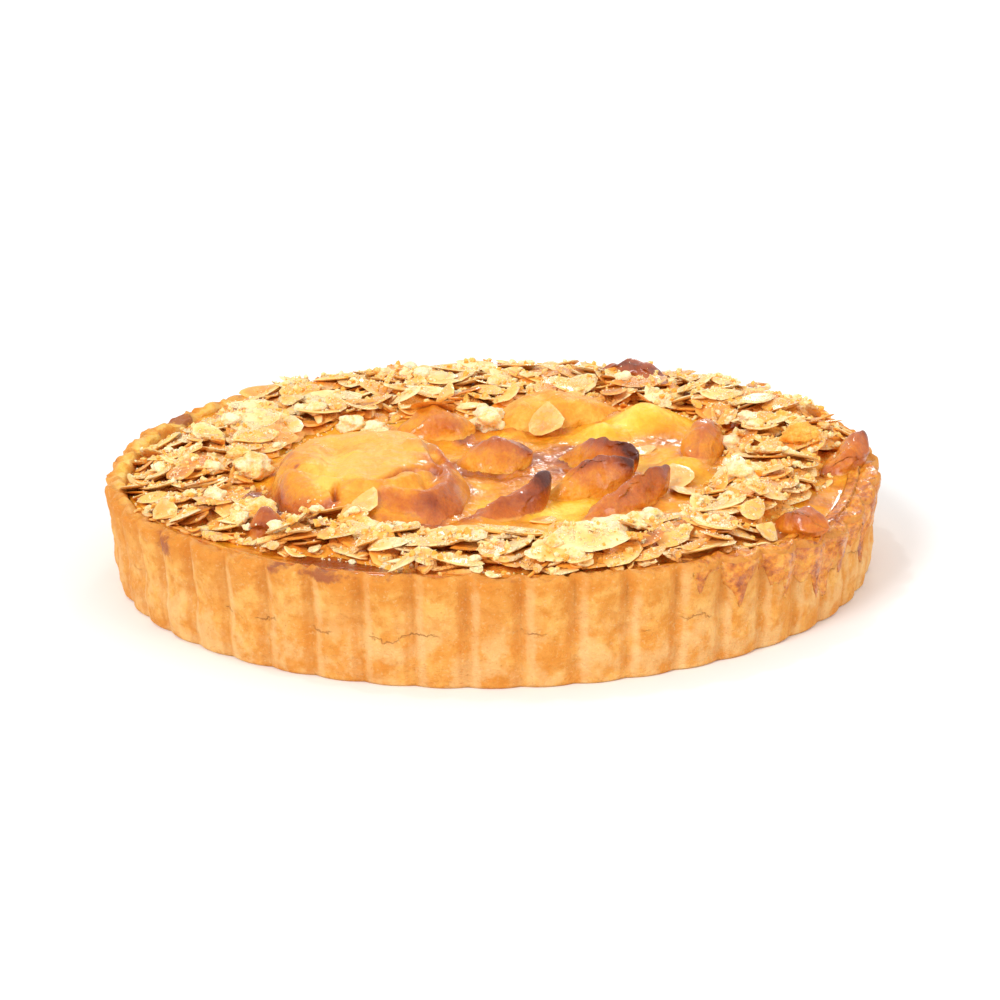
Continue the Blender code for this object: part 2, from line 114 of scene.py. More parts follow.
class Finish:
    """One material: its nodes are added by plain calls and end in the shader."""

    def __init__(self, name, **constants):
        self.material = bpy.data.materials.new(name)
        self.material.use_nodes = True
        self.tree = self.material.node_tree
        self.shader = self.tree.nodes["Principled BSDF"]
        for socket, value in constants.items():
            self.shader.inputs[socket.replace("_", " ")].default_value = value
        self.place = self.add("ShaderNodeTexCoord", {}, {}, "Object")

    def add(self, kind, settings, inputs, output=0):
        node = self.tree.nodes.new(kind)
        for key, value in settings.items():
            if key == "stops":
                ramp = node.color_ramp
                while len(ramp.elements) < len(value):
                    ramp.elements.new(0.5)
                for element, (position, colour) in zip(ramp.elements, value):
                    element.position = position
                    element.color = (*colour, 1)
            else:
                setattr(node, key, value)
        for key, value in inputs.items():
            if isinstance(value, Wire):
                self.tree.links.new(value.socket, node.inputs[key])
            else:
                node.inputs[key].default_value = value
        return Wire(self, node.outputs[output])

    def noise(self, per_metre, detail, roughness=0.5):
        sizes = {"Vector": self.place, "Scale": per_metre, "Detail": detail, "Roughness": roughness}
        return self.add("ShaderNodeTexNoise", {}, sizes)

    def mottle(self, amount, per_metre, detail, roughness=0.5):
        """Noise with its middle at 0, spread over about this amount."""
        return (self.noise(per_metre, detail, roughness) - 0.5) * amount

    def grains(self, per_metre):
        """0 in the middle of each of many small cells, and nearly 1 where they meet."""
        return self.add("ShaderNodeTexVoronoi", {}, {"Vector": self.place, "Scale": per_metre})

    def painted(self, attribute):
        return self.add("ShaderNodeAttribute", {"attribute_name": attribute}, {}, "Fac")

    def span(self, value, low, high):
        """0 below low, 1 above high, and smooth between them."""
        settings = {"interpolation_type": "SMOOTHSTEP"}
        return self.add("ShaderNodeMapRange", settings, {"Value": value, "From Min": low, "From Max": high})

    def ramp(self, value, *stops):
        return self.add("ShaderNodeValToRGB", {"stops": stops}, {"Fac": value})

    def mix(self, share, first, second, blend="MIX"):
        first = first if isinstance(first, Wire) else (*first, 1)
        second = second if isinstance(second, Wire) else (*second, 1)
        settings = {"data_type": "RGBA", "blend_type": blend, "clamp_factor": True}
        return self.add("ShaderNodeMix", settings, {0: share, 6: first, 7: second}, 2)

    def bump(self, height, distance, below=None):
        inputs = {"Height": height, "Distance": distance, "Strength": 1.0}
        if below:
            inputs["Normal"] = below
        return self.add("ShaderNodeBump", {}, inputs)

    def feed(self, **sockets):
        for socket, value in sockets.items():
            self.tree.links.new(value.socket, self.shader.inputs[socket.replace("_", " ")])
        return self.material


def points_of(obj):
    points = np.empty(len(obj.data.vertices) * 3)
    obj.data.vertices.foreach_get("co", points)
    return points.reshape(-1, 3)


def set_points(obj, points):
    obj.data.vertices.foreach_set("co", np.asarray(points, float).ravel())
    obj.data.update()


def paint(obj, attribute, values):
    """Keeps one number for each point of a mesh, for its material to read."""
    layer = obj.data.attributes.new(attribute, "FLOAT", "POINT")
    layer.data.foreach_set("value", np.asarray(values, np.float32))


def ease(low, high, value):
    share = np.clip((value - low) / (high - low), 0, 1)
    return share * share * (3 - 2 * share)


def drift(x, y, channel, octaves=1):
    """Smooth noise between about -1 and 1 over a distance of 1."""
    z = np.broadcast_to(channel, np.shape(x))
    if octaves == 1:
        return np.array([noise.noise(place) for place in zip(x, y, z)])
    return np.array([noise.fractal(place, 0.9, 2.0, octaves) for place in zip(x, y, z)])


def rolled(name, around, along, shape):
    """A closed skin: a grid rolled up so that its sides meet and its two ends draw together."""
    bpy.ops.mesh.primitive_grid_add(x_subdivisions=around, y_subdivisions=along, size=1)
    obj = bpy.context.object
    obj.name = name
    flat = points_of(obj)
    set_points(obj, np.column_stack(shape(flat[:, 0] + 0.5, flat[:, 1] + 0.5)))
    bpy.ops.object.mode_set(mode="EDIT")
    bpy.ops.mesh.select_all(action="SELECT")
    bpy.ops.mesh.remove_doubles(threshold=0.000002)
    bpy.ops.mesh.normals_make_consistent(inside=False)
    bpy.ops.object.mode_set(mode="OBJECT")
    bpy.ops.object.shade_smooth()
    return obj


def dress(piece, slot, *nodes):
    """The piece rides on the tart and stands for its solids."""
    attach(piece, "root")
    if nodes:
        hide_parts(*nodes)


def lobe(turn):
    """1 on the crest of a flute and near 0 in the groove between two, whose bottom is rounded."""
    wave = np.sin(FLUTES * (turn - FIRST_GROOVE) / 2) ** 2
    return ((wave + GROOVE_ROUNDING) / (1 + GROOVE_ROUNDING)) ** (FLUTE_ROUNDNESS / 2)


def hump(turn, direction, half_angle):
    """1 in the given direction, falling smoothly to 0 at half_angle on both sides of it."""
    away = np.abs((turn - direction + math.pi) % math.tau - math.pi) / half_angle
    return np.where(away < 1, 0.5 + 0.5 * np.cos(math.pi * away), 0.0)


def waves(turn, rows):
    return sum(height * np.sin(count * turn + phase) for count, phase, height in rows)


def rim_height(turn):
    overflow = OVERFLOW_DROP * hump(turn, OVERFLOW_DIRECTION, OVERFLOW_HALF_ANGLE)
    return CRUST_HEIGHT + waves(turn, RIM_WAVES) - overflow


def crust_section():
    """Radius, height and share of fluting at each step: from under the middle, up the wall and inside."""
    widening = RIM_RADIUS - BASE_RADIUS
    bulge_height = CREASE_HEIGHT - BULGE_BELOW_CREASE
    wall_knots = (
        (BASE_ROUNDING, BASE_RADIUS),
        (bulge_height, BASE_RADIUS + widening * bulge_height / CRUST_HEIGHT + CREASE_DEPTH),
        (CREASE_HEIGHT, BASE_RADIUS + widening * CREASE_HEIGHT / CRUST_HEIGHT - CREASE_DEPTH),
        (CRUST_HEIGHT - RIM_ROUNDING, RIM_RADIUS),
    )
    steps = [(0, 0, 0), (BASE_RADIUS / 2, 0, 0.5), (BASE_RADIUS - 3 * BASE_ROUNDING, 0, 1)]
    steps.append((BASE_RADIUS - BASE_ROUNDING, 0, 1))
    knot_heights, knot_radii = zip(*wall_knots)
    for height in np.linspace(BASE_ROUNDING, CRUST_HEIGHT - RIM_ROUNDING, 58):
        nearby = height + np.linspace(-1.5, 1.5, 7) * MILLIMETRE
        steps.append((np.interp(nearby, knot_heights, knot_radii).mean(), height, 1))
    for angle in np.radians(np.linspace(12, 90, 7)):
        radius = RIM_RADIUS - RIM_ROUNDING * (1 - math.cos(angle))
        steps.append((radius, CRUST_HEIGHT - RIM_ROUNDING * (1 - math.sin(angle)), 1))
    outer, drop = RIM_RADIUS - RIM_ROUNDING, INNER_EDGE_DROP
    for share in np.linspace(0.1, 1, 10):
        crown = 0.3 * MILLIMETRE * math.sin(math.pi * share)
        radius = outer + (INNER_RADIUS_TOP - outer) * share
        steps.append((radius, CRUST_HEIGHT - drop * share + crown, 1 - share))
    for share in np.linspace(0.06, 1, 12):
        radius = INNER_RADIUS_TOP + (INNER_RADIUS_FLOOR - INNER_RADIUS_TOP) * share
        height = CRUST_HEIGHT - drop + (FLOOR_THICKNESS - CRUST_HEIGHT + drop) * share
        steps.append((radius, height, 0))
    steps += [(INNER_RADIUS_FLOOR * 0.6, FLOOR_THICKNESS, 0), (0, FLOOR_THICKNESS, 0)]
    return np.array(steps)


def crust_shape(u, v):
    section = crust_section()
    step = v * (len(section) - 1)
    radius, height, fluting = (np.interp(step, np.arange(len(section)), column) for column in section.T)
    turn = FIRST_GROOVE + math.tau * (u % 1.0)
    share = np.clip(height / CRUST_HEIGHT, 0, 1)
    upper = np.clip((height - CREASE_HEIGHT) / (CRUST_HEIGHT - CREASE_HEIGHT), 0, 1)
    depth = FLUTE_DEPTH_BASE + (FLUTE_DEPTH_RIM - FLUTE_DEPTH_BASE) * share
    ring_x, ring_y = np.cos(turn), np.sin(turn)
    radius = radius - depth * (1 - lobe(turn)) * fluting
    wander = CREASE_WANDER * drift(ring_x / CREASE_SPAN, ring_y / CREASE_SPAN, 3.1)
    height = height + wander * (1 - np.abs(2 * share - 1)) * fluting
    height = height + (rim_height(turn) - CRUST_HEIGHT) * upper
    height = height + GROOVE_LIFT * (1 - lobe(turn)) * fluting * upper
    x, y = radius * ring_x, radius * ring_y
    outside = fluting * ease(0.0005, 0.003, height)
    coarse = drift(x / 0.007, y / 0.007, height / 0.007, 3)
    crumb = drift(x / 0.0022, y / 0.0022, height / 0.0022, 3)
    radius = radius + outside * (0.00046 * coarse + 0.00018 * crumb)
    top = ease(CRUST_HEIGHT - 0.0040, CRUST_HEIGHT - 0.0010, height + CRUST_HEIGHT - rim_height(turn))
    ragged = drift(x / 0.0040, y / 0.0040, 8.8, 2)
    height = height + top * (0.00080 * coarse + 0.00050 * crumb + 0.00100 * ragged)
    glazed = top * hump(turn, GLAZED_DIRECTION, GLAZED_HALF_ANGLE) ** 0.5
    glazed = glazed * drift(x / 0.0090, y / 0.0090, 4.8, 2)
    radius = radius - 0.0016 * glazed * (1 - fluting)
    height = height + 0.0015 * glazed
    return radius * ring_x, radius * ring_y, height


crust = rolled("crust_pastry", CRUST_AROUND, len(crust_section()) - 1, crust_shape)
spot = points_of(crust)
spot_turn = np.arctan2(spot[:, 1], spot[:, 0])
spot_radius = np.hypot(spot[:, 0], spot[:, 1])
on_wall = ease(INNER_RADIUS_TOP - 0.001, INNER_RADIUS_TOP + 0.003, spot_radius)
rim_share = ease(CRUST_HEIGHT - 0.011, CRUST_HEIGHT, spot[:, 2] - rim_height(spot_turn) + CRUST_HEIGHT)
# Painted shade in the grooves between flutes.
paint(crust, "groove", (1 - lobe(spot_turn)) ** 1.5 * on_wall)
paint(crust, "rim", rim_share)
flute_share = (FLUTES * (spot_turn - FIRST_GROOVE) / math.tau) % 1.0
# Painted light on each flute: a painted highlight down its left side and painted shade down its right.
paint(crust, "shoulder", np.exp(-(((flute_share - 0.17) / 0.110) ** 2)) * on_wall)
paint(crust, "lee", np.exp(-(((flute_share - 0.88) / 0.080) ** 2)) * on_wall)
inward = 1 - ease(RIM_RADIUS - 0.0045, RIM_RADIUS - 0.0010, spot_radius)
paint(crust, "glazed", inward * rim_share * hump(spot_turn, GLAZED_DIRECTION, GLAZED_HALF_ANGLE) ** 0.3)

# Burnt patches near the rim: direction in degrees, height, half width in degrees and metres, strength
BURNT_PATCHES = (
    (217.5, 0.0295, 3.0, 0.0040, 1.0),
    (239.6, 0.0318, 2.2, 0.0022, 0.9),
    (247.0, 0.0316, 4.6, 0.0020, 1.0),
    (258.0, 0.0325, 3.4, 0.0014, 0.6),
    (274.0, 0.0325, 5.0, 0.0012, 0.5),
    (153.0, 0.0318, 2.6, 0.0030, 1.0),
    (162.0, 0.0320, 4.0, 0.0026, 0.5),
    (175.2, 0.0300, 2.0, 0.0016, 0.8),
    (189.4, 0.0300, 1.4, 0.0013, 0.9),
    (300.0, 0.0322, 6.0, 0.0016, 0.5),
    (40.0, 0.0322, 5.0, 0.0022, 0.7),
    (75.0, 0.0325, 6.0, 0.0018, 0.7),
    (112.0, 0.0322, 4.0, 0.0022, 0.8),
)
burnt = np.zeros(len(spot))
for direction, height, half_turn, half_height, strength in BURNT_PATCHES:
    aside = np.degrees((spot_turn - math.radians(direction) + math.pi) % math.tau - math.pi) / half_turn
    above = (spot[:, 2] - height) / half_height
    burnt = np.maximum(burnt, strength * np.exp(-aside**2 - above**2))
paint(crust, "burnt", burnt)
drips = 0.017 + 0.006 * drift(spot_turn * 9, 0 * spot_turn, 1.7, 2)
stain = hump(spot_turn, OVERFLOW_DIRECTION, OVERFLOW_HALF_ANGLE * 1.25) ** 0.5
stain = stain * ease(drips, drips + 0.008, spot[:, 2])
paint(crust, "stain", stain * ease(INNER_RADIUS_FLOOR, INNER_RADIUS_TOP, spot_radius))

pastry = Finish("golden_pastry", Subsurface_Weight=0.08, Subsurface_Scale=0.003, Specular_IOR_Level=0.35)
broad = pastry.noise(55, 3)
patchy = pastry.noise(210, 4, 0.6)
crumb = pastry.noise(900, 4, 0.65)
height = pastry.add("ShaderNodeSeparateXYZ", {}, {0: pastry.place}, "Z")
colour = pastry.mix(pastry.span(patchy, 0.34, 0.66), (0.70, 0.260, 0.028), (0.87, 0.440, 0.100))
colour = pastry.mix(pastry.span(broad, 0.44, 0.62) * 0.7, colour, (0.71, 0.255, 0.028))
glaze = pastry.ramp(
    patchy,
    (0.36, (0.82, 0.32, 0.030)),
    (0.50, (0.97, 0.55, 0.090)),
    (0.64, (1.00, 0.68, 0.200)),
)
colour = pastry.mix(pastry.painted("glazed") * 0.9, colour, glaze)
flour = (1 - pastry.span(height, 0.008, 0.028)) * pastry.span(pastry.noise(120, 4, 0.6), 0.42, 0.62)
colour = pastry.mix(flour * 0.62, colour, (0.86, 0.53, 0.21))
# Painted shade: the grooves darken, more so higher up the wall.
groove = pastry.span(pastry.painted("groove") + (patchy - 0.5) * 0.3, 0.10, 0.85)
groove_shade = groove * (0.34 + pastry.span(height, 0.010, 0.030) * 0.42)
colour = pastry.mix(groove_shade, colour, (0.56, 0.170, 0.018))
# Painted shade down the right side of each flute.
toasted = pastry.span(pastry.painted("lee") + pastry.mottle(1.4, 190, 4), 0.40, 1.0)
colour = pastry.mix(toasted * 0.38, colour, (0.62, 0.200, 0.020))
# Painted highlight down the left side of each flute.
lit_side_highlight = pastry.span(pastry.painted("shoulder") + pastry.mottle(1.8, 140, 4, 0.6), 0.40, 1.05)
colour = pastry.mix(lit_side_highlight * 0.40, colour, (0.87, 0.56, 0.25))
rim_tone = pastry.span(pastry.painted("rim") + pastry.mottle(1.3, 150, 4, 0.6), 0.55, 0.95)
colour = pastry.mix(rim_tone * (0.54 - pastry.painted("glazed") * 0.48), colour, (0.70, 0.235, 0.018))
colour = pastry.mix(pastry.span(crumb, 0.58, 0.70) * 0.40, colour, (0.52, 0.17, 0.022))
colour = pastry.mix(pastry.span(1 - crumb, 0.56, 0.68) * 0.34, colour, (0.88, 0.58, 0.26))
colour = pastry.mix(pastry.painted("stain") * (0.35 + patchy * 0.7), colour, (0.62, 0.225, 0.025))
scorch = pastry.span(pastry.painted("burnt") + pastry.mottle(1.3, 330, 4, 0.65), 0.42, 0.85)
colour = pastry.mix(scorch * 0.9, colour, (0.36, 0.090, 0.025))
# A hairline crack along the crease: cut into the bump, with painted shade darkening it.
crack_line = height + pastry.mottle(0.012, 90, 4, 0.7) - 0.0155
crack_and_shade = (1 - pastry.span(abs(crack_line), 0.00005, 0.00034)) * pastry.span(pastry.noise(75, 1), 0.50, 0.58)
colour = pastry.mix(crack_and_shade * 0.6, colour, (0.50, 0.17, 0.03))
relief = pastry.bump(crumb + pastry.noise(2300, 2) * 0.5 - crack_and_shade * 0.8, 0.00045)
relief = pastry.bump(patchy, 0.0009, relief)
crust.data.materials.append(pastry.feed(
    Base_Color=colour,
    Roughness=0.74 - pastry.painted("stain") * 0.34 - scorch * 0.2,
    Normal=relief,
))
dress(crust, "pastry", "crust")

# ---- The apple ----
# Peeled apple in one large quarter and twelve slices, laid in the custard and baked with it: soft golden
# flesh, browned along the ridges and burnt at the tips, with a film of custard low down.
CUSTARD_HEIGHT = 0.0315
CUSTARD_EDGE_START = 0.1000
CUSTARD_BELOW_RIM = 0.0013
CUSTARD_RIPPLE = 0.0006
CUSTARD_MOUNDS = (
    (0.0520, 0.0385, 0.0140, 0.0075),
    (0.0365, 0.0230, 0.0075, 0.0050),
    (0.0600, -0.0190, 0.0110, 0.0055),
    (-0.0500, 0.0400, 0.0130, 0.0030),
    (0.0080, -0.0760, 0.0110, 0.0010),
)
MOUND_FALLOFF = 1.4
# Slices: name, start, end, width, underside, ridge heights, bend, sharpness
SLICES = (
    ("apple_slice_back_left", (-0.0320, 0.0280), (-0.0055, 0.0340), 0.0230, 0.0255,
     (0.0355, 0.0415, 0.0360), 0.0015, 0.80),
    ("apple_slice_middle", (-0.0120, -0.0090), (0.0130, -0.0055), 0.0230, 0.0255,
     (0.0350, 0.0408, 0.0385), 0.0000, 0.85),
    ("apple_slice_centre", (0.0205, 0.0000), (0.0455, -0.0270), 0.0095, 0.0265,
     (0.0335, 0.0420, 0.0435), 0.0010, 1.20),
    ("apple_slice_front_left", (-0.0120, -0.0690), (0.0175, -0.0480), 0.0140, 0.0265,
     (0.0330, 0.0375, 0.0438), -0.0020, 1.25),
    ("apple_slice_front", (0.0145, -0.0465), (0.0435, -0.0365), 0.0140, 0.0255,
     (0.0345, 0.0430, 0.0440), -0.0005, 1.15),
    ("apple_slice_front_right", (0.0235, -0.0700), (0.0545, -0.0350), 0.0110, 0.0265,
     (0.0330, 0.0400, 0.0415), -0.0020, 1.20),
    ("apple_slice_back", (-0.0020, 0.0410), (0.0430, 0.0490), 0.0330, 0.0255,
     (0.0350, 0.0415, 0.0370), 0.0020, 0.75),
    ("apple_slice_right", (0.0660, -0.0100), (0.0725, 0.0180), 0.0140, 0.0255,
     (0.0350, 0.0425, 0.0405), 0.0010, 0.85),
    ("apple_chunk_right", (0.1030, -0.0240), (0.1190, -0.0060), 0.0120, 0.0290,
     (0.0345, 0.0395, 0.0430), 0.0000, 0.90),
    ("apple_chunk_front_right", (0.0830, -0.0655), (0.0985, -0.0750), 0.0120, 0.0275,
     (0.0325, 0.0362, 0.0335), 0.0000, 0.90),
    ("apple_slice_back_rim", (0.0330, 0.1005), (0.0625, 0.0850), 0.0110, 0.0310,
     (0.0350, 0.0405, 0.0375), 0.0030, 1.00),
    ("apple_chunk_front_left", (-0.0725, -0.0735), (-0.0605, -0.0790), 0.0110, 0.0290,
     (0.0350, 0.0402, 0.0355), 0.0000, 0.85),
)
SLICE_TAPER = 0.55
SLICE_KEEL = 0.72
SLICE_BELLY = 0.30
TIP_DROP = 0.0024
# How brown each slice is, from 0 to 1: all over, at its start, at its end, along its ridge, on its front
BROWNING = {
    "apple_slice_back_left": (0.20, 0.10, 0.50, 0.20, 0.38),
    "apple_slice_middle": (0.20, 0.05, 0.75, 0.35, 0.15),
    "apple_slice_centre": (0.28, 0.10, 0.75, 0.60, 0.22),
    "apple_slice_front_left": (0.50, 0.28, 0.50, 0.30, 0.36),
    "apple_slice_front": (0.20, 0.05, 0.52, 0.58, 0.18),
    "apple_slice_front_right": (0.36, 0.15, 0.25, 0.32, 0.15),
    "apple_slice_back": (0.12, 0.08, 0.25, 0.05, 0.12),
    "apple_slice_right": (0.26, 0.18, 0.20, 0.20, 0.18),
    "apple_chunk_right": (0.36, 0.20, 0.40, 0.22, 0.18),
    "apple_chunk_front_right": (0.42, 0.20, 0.55, 0.20, 0.22),
    "apple_slice_back_rim": (0.55, 0.25, 0.40, 0.35, 0.30),
    "apple_chunk_front_left": (0.40, 0.25, 0.30, 0.20, 0.22),
}


def strokes(x, y, rows):
    """Adds up soft brush strokes: each is a line of points, a half width and an amount."""
    total = np.zeros(len(x))
    for line, half_width, amount in rows:
        nearest = np.full(len(x), 9.0)
        for start, end in zip(line, line[1:] if len(line) > 1 else line):
            start, end = np.array(start), np.array(end)
            along = end - start
            share = ((x - start[0]) * along[0] + (y - start[1]) * along[1]) / max(along @ along, 1e-12)
            share = np.clip(share, 0, 1)
            away = np.hypot(x - start[0] - share * along[0], y - start[1] - share * along[1])
            nearest = np.minimum(nearest, away)
        total += amount * np.exp(-((nearest / half_width) ** 2))
    return total


def custard_level(x, y):
    """Height of the custard: nearly flat, drawn up to just below the rim at its edge."""
    radius, turn = np.hypot(x, y), np.arctan2(y, x)
    edge = ease(CUSTARD_EDGE_START, INNER_RADIUS_TOP, radius)
    level = CUSTARD_HEIGHT + (rim_height(turn) - CUSTARD_BELOW_RIM - CUSTARD_HEIGHT) * edge
    inside = radius <= CUSTARD_EDGE_START
    ripple = inside * CUSTARD_RIPPLE * drift(x / 0.018, y / 0.018, 1.3)
    level = level + ripple * (1 - ease(0.060, 0.075, radius))
    for mound_x, mound_y, size, rise in CUSTARD_MOUNDS:
        away = np.hypot(x - mound_x, y - mound_y) / size
        level = level + inside * rise * np.exp(-MOUND_FALLOFF * away**2)
    return level


def slice_shape(row):
    """Places on one slice: u runs round it, first over the top, and v from its start to its end."""
    _, start, end, width, underside, heights, bend, sharpness = row
    start, end = np.array(start), np.array(end)
    length = np.linalg.norm(end - start)
    direction = (end - start) / length
    across = np.array((-direction[1], direction[0]))

    def shape(u, v):
        angle = math.tau * (u % 1.0)
        at_start, at_middle, at_end = heights
        ridge = at_start * (1 - v) * (1 - 2 * v) + at_end * v * (2 * v - 1) + at_middle * 4 * v * (1 - v)
        fullness = np.sin(math.pi * np.clip(v, 0, 1)) ** SLICE_TAPER
        fullness[(v <= 0) | (v >= 1)] = 0
        tip = np.where(v < 0.5, at_start, at_end) - TIP_DROP
        low = tip + (underside - tip) * fullness
        high = tip + (ridge - tip) * fullness
        over = np.clip(np.sin(angle), 0, 1)
        side = np.sign(np.cos(angle)) * np.abs(np.cos(angle)) ** sharpness
        keel = SLICE_KEEL + (1 - SLICE_KEEL) * np.minimum(1, over / SLICE_BELLY)
        sideways = side * keel * width / 2 * fullness + bend * (1 - (2 * v - 1) ** 2)
        x = start[0] + (end[0] - start[0]) * v + across[0] * sideways
        y = start[1] + (end[1] - start[1]) * v + across[1] * sideways
        z = low + (high - low) * over
        folds = drift(v * length / 0.013, np.sin(angle) * 2.2 + np.cos(angle) * 0.8, 900 * start[0], 3)
        lumps = drift(x / 0.006, y / 0.006, z / 0.006, 2)
        pits = drift(x / 0.0022, y / 0.0022, z / 0.0022, 2)
        proud = ease(0, 0.4, over) * fullness
        z = z + proud * (0.0022 * folds + 0.0005 * lumps + 0.0003 * pits)
        sway = proud * (0.0022 * folds + 0.0006 * lumps)
        return x + across[0] * sway, y + across[1] * sway, z

    return shape


def slice_browning(row, points):
    """How brown each point of a slice is, from 0 to about 1."""
    name, start, end, width, _, heights, _, _ = row
    overall, at_start, at_end, on_ridge, on_front = BROWNING[name]
    start, end = np.array(start), np.array(end)
    along = end - start
    offset = points[:, :2] - start
    share = offset @ along / (along @ along)
    aside = (offset @ np.array((-along[1], along[0]))) / np.linalg.norm(along) / (width / 2)
    if along[0] < 0:
        aside = -aside
    rise = (points[:, 2] - CUSTARD_HEIGHT) / (max(heights) - CUSTARD_HEIGHT)
    crest = ease(0.45, 1.0, rise) * (1 - ease(0.15, 0.8, np.abs(aside)))
    brown = overall + on_ridge * crest + on_front * ease(0.1, 0.9, -aside) * ease(0.1, 0.6, rise)
    brown += at_start * (1 - ease(0.0, 0.3, share)) + at_end * ease(0.72, 1.0, share) * ease(0.2, 0.8, rise)
    return brown


flesh = Finish(
    "baked_apple",
    Subsurface_Weight=0.12,
    Subsurface_Scale=0.0015,
    Coat_Roughness=0.06,
    Specular_IOR_Level=0.35,
)
brown = flesh.painted("brown") + flesh.mottle(0.52, 170, 4, 0.6) + flesh.mottle(0.24, 700, 3, 0.6)
colour = flesh.ramp(
    brown,
    (0.00, (0.94, 0.55, 0.085)),
    (0.22, (0.82, 0.315, 0.016)),
    (0.45, (0.60, 0.145, 0.007)),
    (0.70, (0.36, 0.064, 0.007)),
    (1.00, (0.100, 0.016, 0.006)),
)
film = flesh.span(flesh.painted("film") + flesh.mottle(0.6, 260, 3), 0.35, 0.75)
colour = flesh.mix(film * 0.60, colour, (0.93, 0.49, 0.085))
relief = flesh.bump(flesh.noise(240, 4, 0.6), 0.0012)
relief = flesh.bump(flesh.noise(1100, 3), 0.0002, relief)
sticky = flesh.span(flesh.noise(130, 3), 0.44, 0.56)
apple_finish = flesh.feed(
    Base_Color=colour,
    Roughness=0.30 + flesh.noise(300, 2) * 0.24,
    Coat_Weight=flesh.span(brown, 0.16, 0.42) * (0.25 + sticky * 0.75),
    Normal=relief,
)

apples = []
for row in SLICES:
    piece = rolled(row[0] + "_flesh", 64, 72, slice_shape(row))
    spot = points_of(piece)
    level = custard_level(spot[:, 0], spot[:, 1])
    paint(piece, "brown", slice_browning(row, spot))
    paint(piece, "film", 1 - ease(-0.0005, 0.0030, spot[:, 2] - level))
    piece.data.materials.append(apple_finish)
    dress(piece, "baked_apple", row[0])
    apples.append(piece)

# The largest piece, a whole quarter that lies flat under a skin of custard, with a fold along its front
QUARTER_PLACE = (-0.0395, -0.0280)
QUARTER_RADIUS = 0.0365
QUARTER_LENGTHENING = 0.0060
QUARTER_LONG_WAY = math.radians(100)
QUARTER_SHIFT = 0.0040
QUARTER_SHIFT_WAY = math.radians(-65)
QUARTER_TOP = 0.0420
QUARTER_FLATNESS = 9
QUARTER_SHOULDER = 0.75
QUARTER_UNDERSIDE = 0.0255
QUARTER_STEP = 0.0032
QUARTER_STEP_WAY = math.radians(-50)
QUARTER_CREASE = (
    (-0.0439, -0.0504),
    (-0.0359, -0.0543),
    (-0.0301, -0.0482),
    (-0.0233, -0.0420),
    (-0.0173, -0.0391),
)
QUARTER_NOTCH = ((-0.0472, -0.0545), (-0.0474, -0.0575), (-0.0467, -0.0615))
QUARTER_RIDGE = ((-0.0263, -0.0199), (-0.0215, -0.0184), (-0.0173, -0.0143), (-0.0132, -0.0275))
QUARTER_LIP = ((-0.0165, -0.0324), (-0.0130, -0.0420), (-0.0139, -0.0504), (-0.0184, -0.0600))
QUARTER_FORMS = (
    (QUARTER_CREASE, 0.0014, -0.0021),
    (QUARTER_NOTCH, 0.0009, -0.0024),
    (QUARTER_RIDGE, 0.0015, 0.0015),
    (QUARTER_LIP, 0.0030, 0.0015),
    (((-0.0450, -0.0590), (-0.0390, -0.0580), (-0.0316, -0.0596), (-0.0240, -0.0600)), 0.0034, 0.0017),
    (((-0.0300, -0.0655), (-0.0220, -0.0660)), 0.0020, -0.0010),
    (((-0.0610, -0.0470), (-0.0550, -0.0560)), 0.0080, 0.0009),
    (((-0.0700, -0.0330), (-0.0600, -0.0400), (-0.0500, -0.0440)), 0.0026, -0.0013),
    (((-0.0660, -0.0230), (-0.0570, -0.0300)), 0.0060, 0.0010),
    (((-0.0500, -0.0440), (-0.0480, -0.0300), (-0.0500, -0.0130)), 0.0042, -0.0016),
    (((-0.0440, -0.0080), (-0.0300, -0.0060), (-0.0290, -0.0250), (-0.0360, -0.0380)), 0.0090, 0.0005),
    (((-0.0230, -0.0245), (-0.0185, -0.0235), (-0.0175, -0.0330)), 0.0017, -0.0011),
    (((-0.0225, -0.0460), (-0.0190, -0.0530)), 0.0016, -0.0009),
)
# Strokes of browning on the quarter; the rows along the crease, below its right half and in the notch are
# painted shade.
QUARTER_TONES = (
    (QUARTER_CREASE, 0.0012, 0.26),
    (QUARTER_CREASE[2:], 0.0040, 0.10),
    (QUARTER_NOTCH, 0.0007, 0.60),
    (QUARTER_RIDGE, 0.0018, 0.34),
    (QUARTER_LIP, 0.0048, 0.26),
    (((-0.0330, -0.0625), (-0.0251, -0.0640), (-0.0184, -0.0620)), 0.0030, 0.22),
    (((-0.0464, -0.0650), (-0.0364, -0.0700), (-0.0205, -0.0700), (-0.0117, -0.0546)), 0.0040, 0.12),
    (((-0.0670, -0.0520), (-0.0600, -0.0600), (-0.0524, -0.0652), (-0.0481, -0.0630)), 0.0026, 0.34),
    (((-0.0780, -0.0260), (-0.0740, -0.0400), (-0.0680, -0.0520)), 0.0036, 0.90),
    (((-0.0642, -0.0264),), 0.0040, 0.20),
    (((-0.0601, -0.0375),), 0.0009, 0.50),
    (((-0.0500, -0.0500), (-0.0480, -0.0420), (-0.0469, -0.0291)), 0.0060, -0.30),
    (((-0.0620, -0.0470), (-0.0560, -0.0540)), 0.0050, 0.10),
)


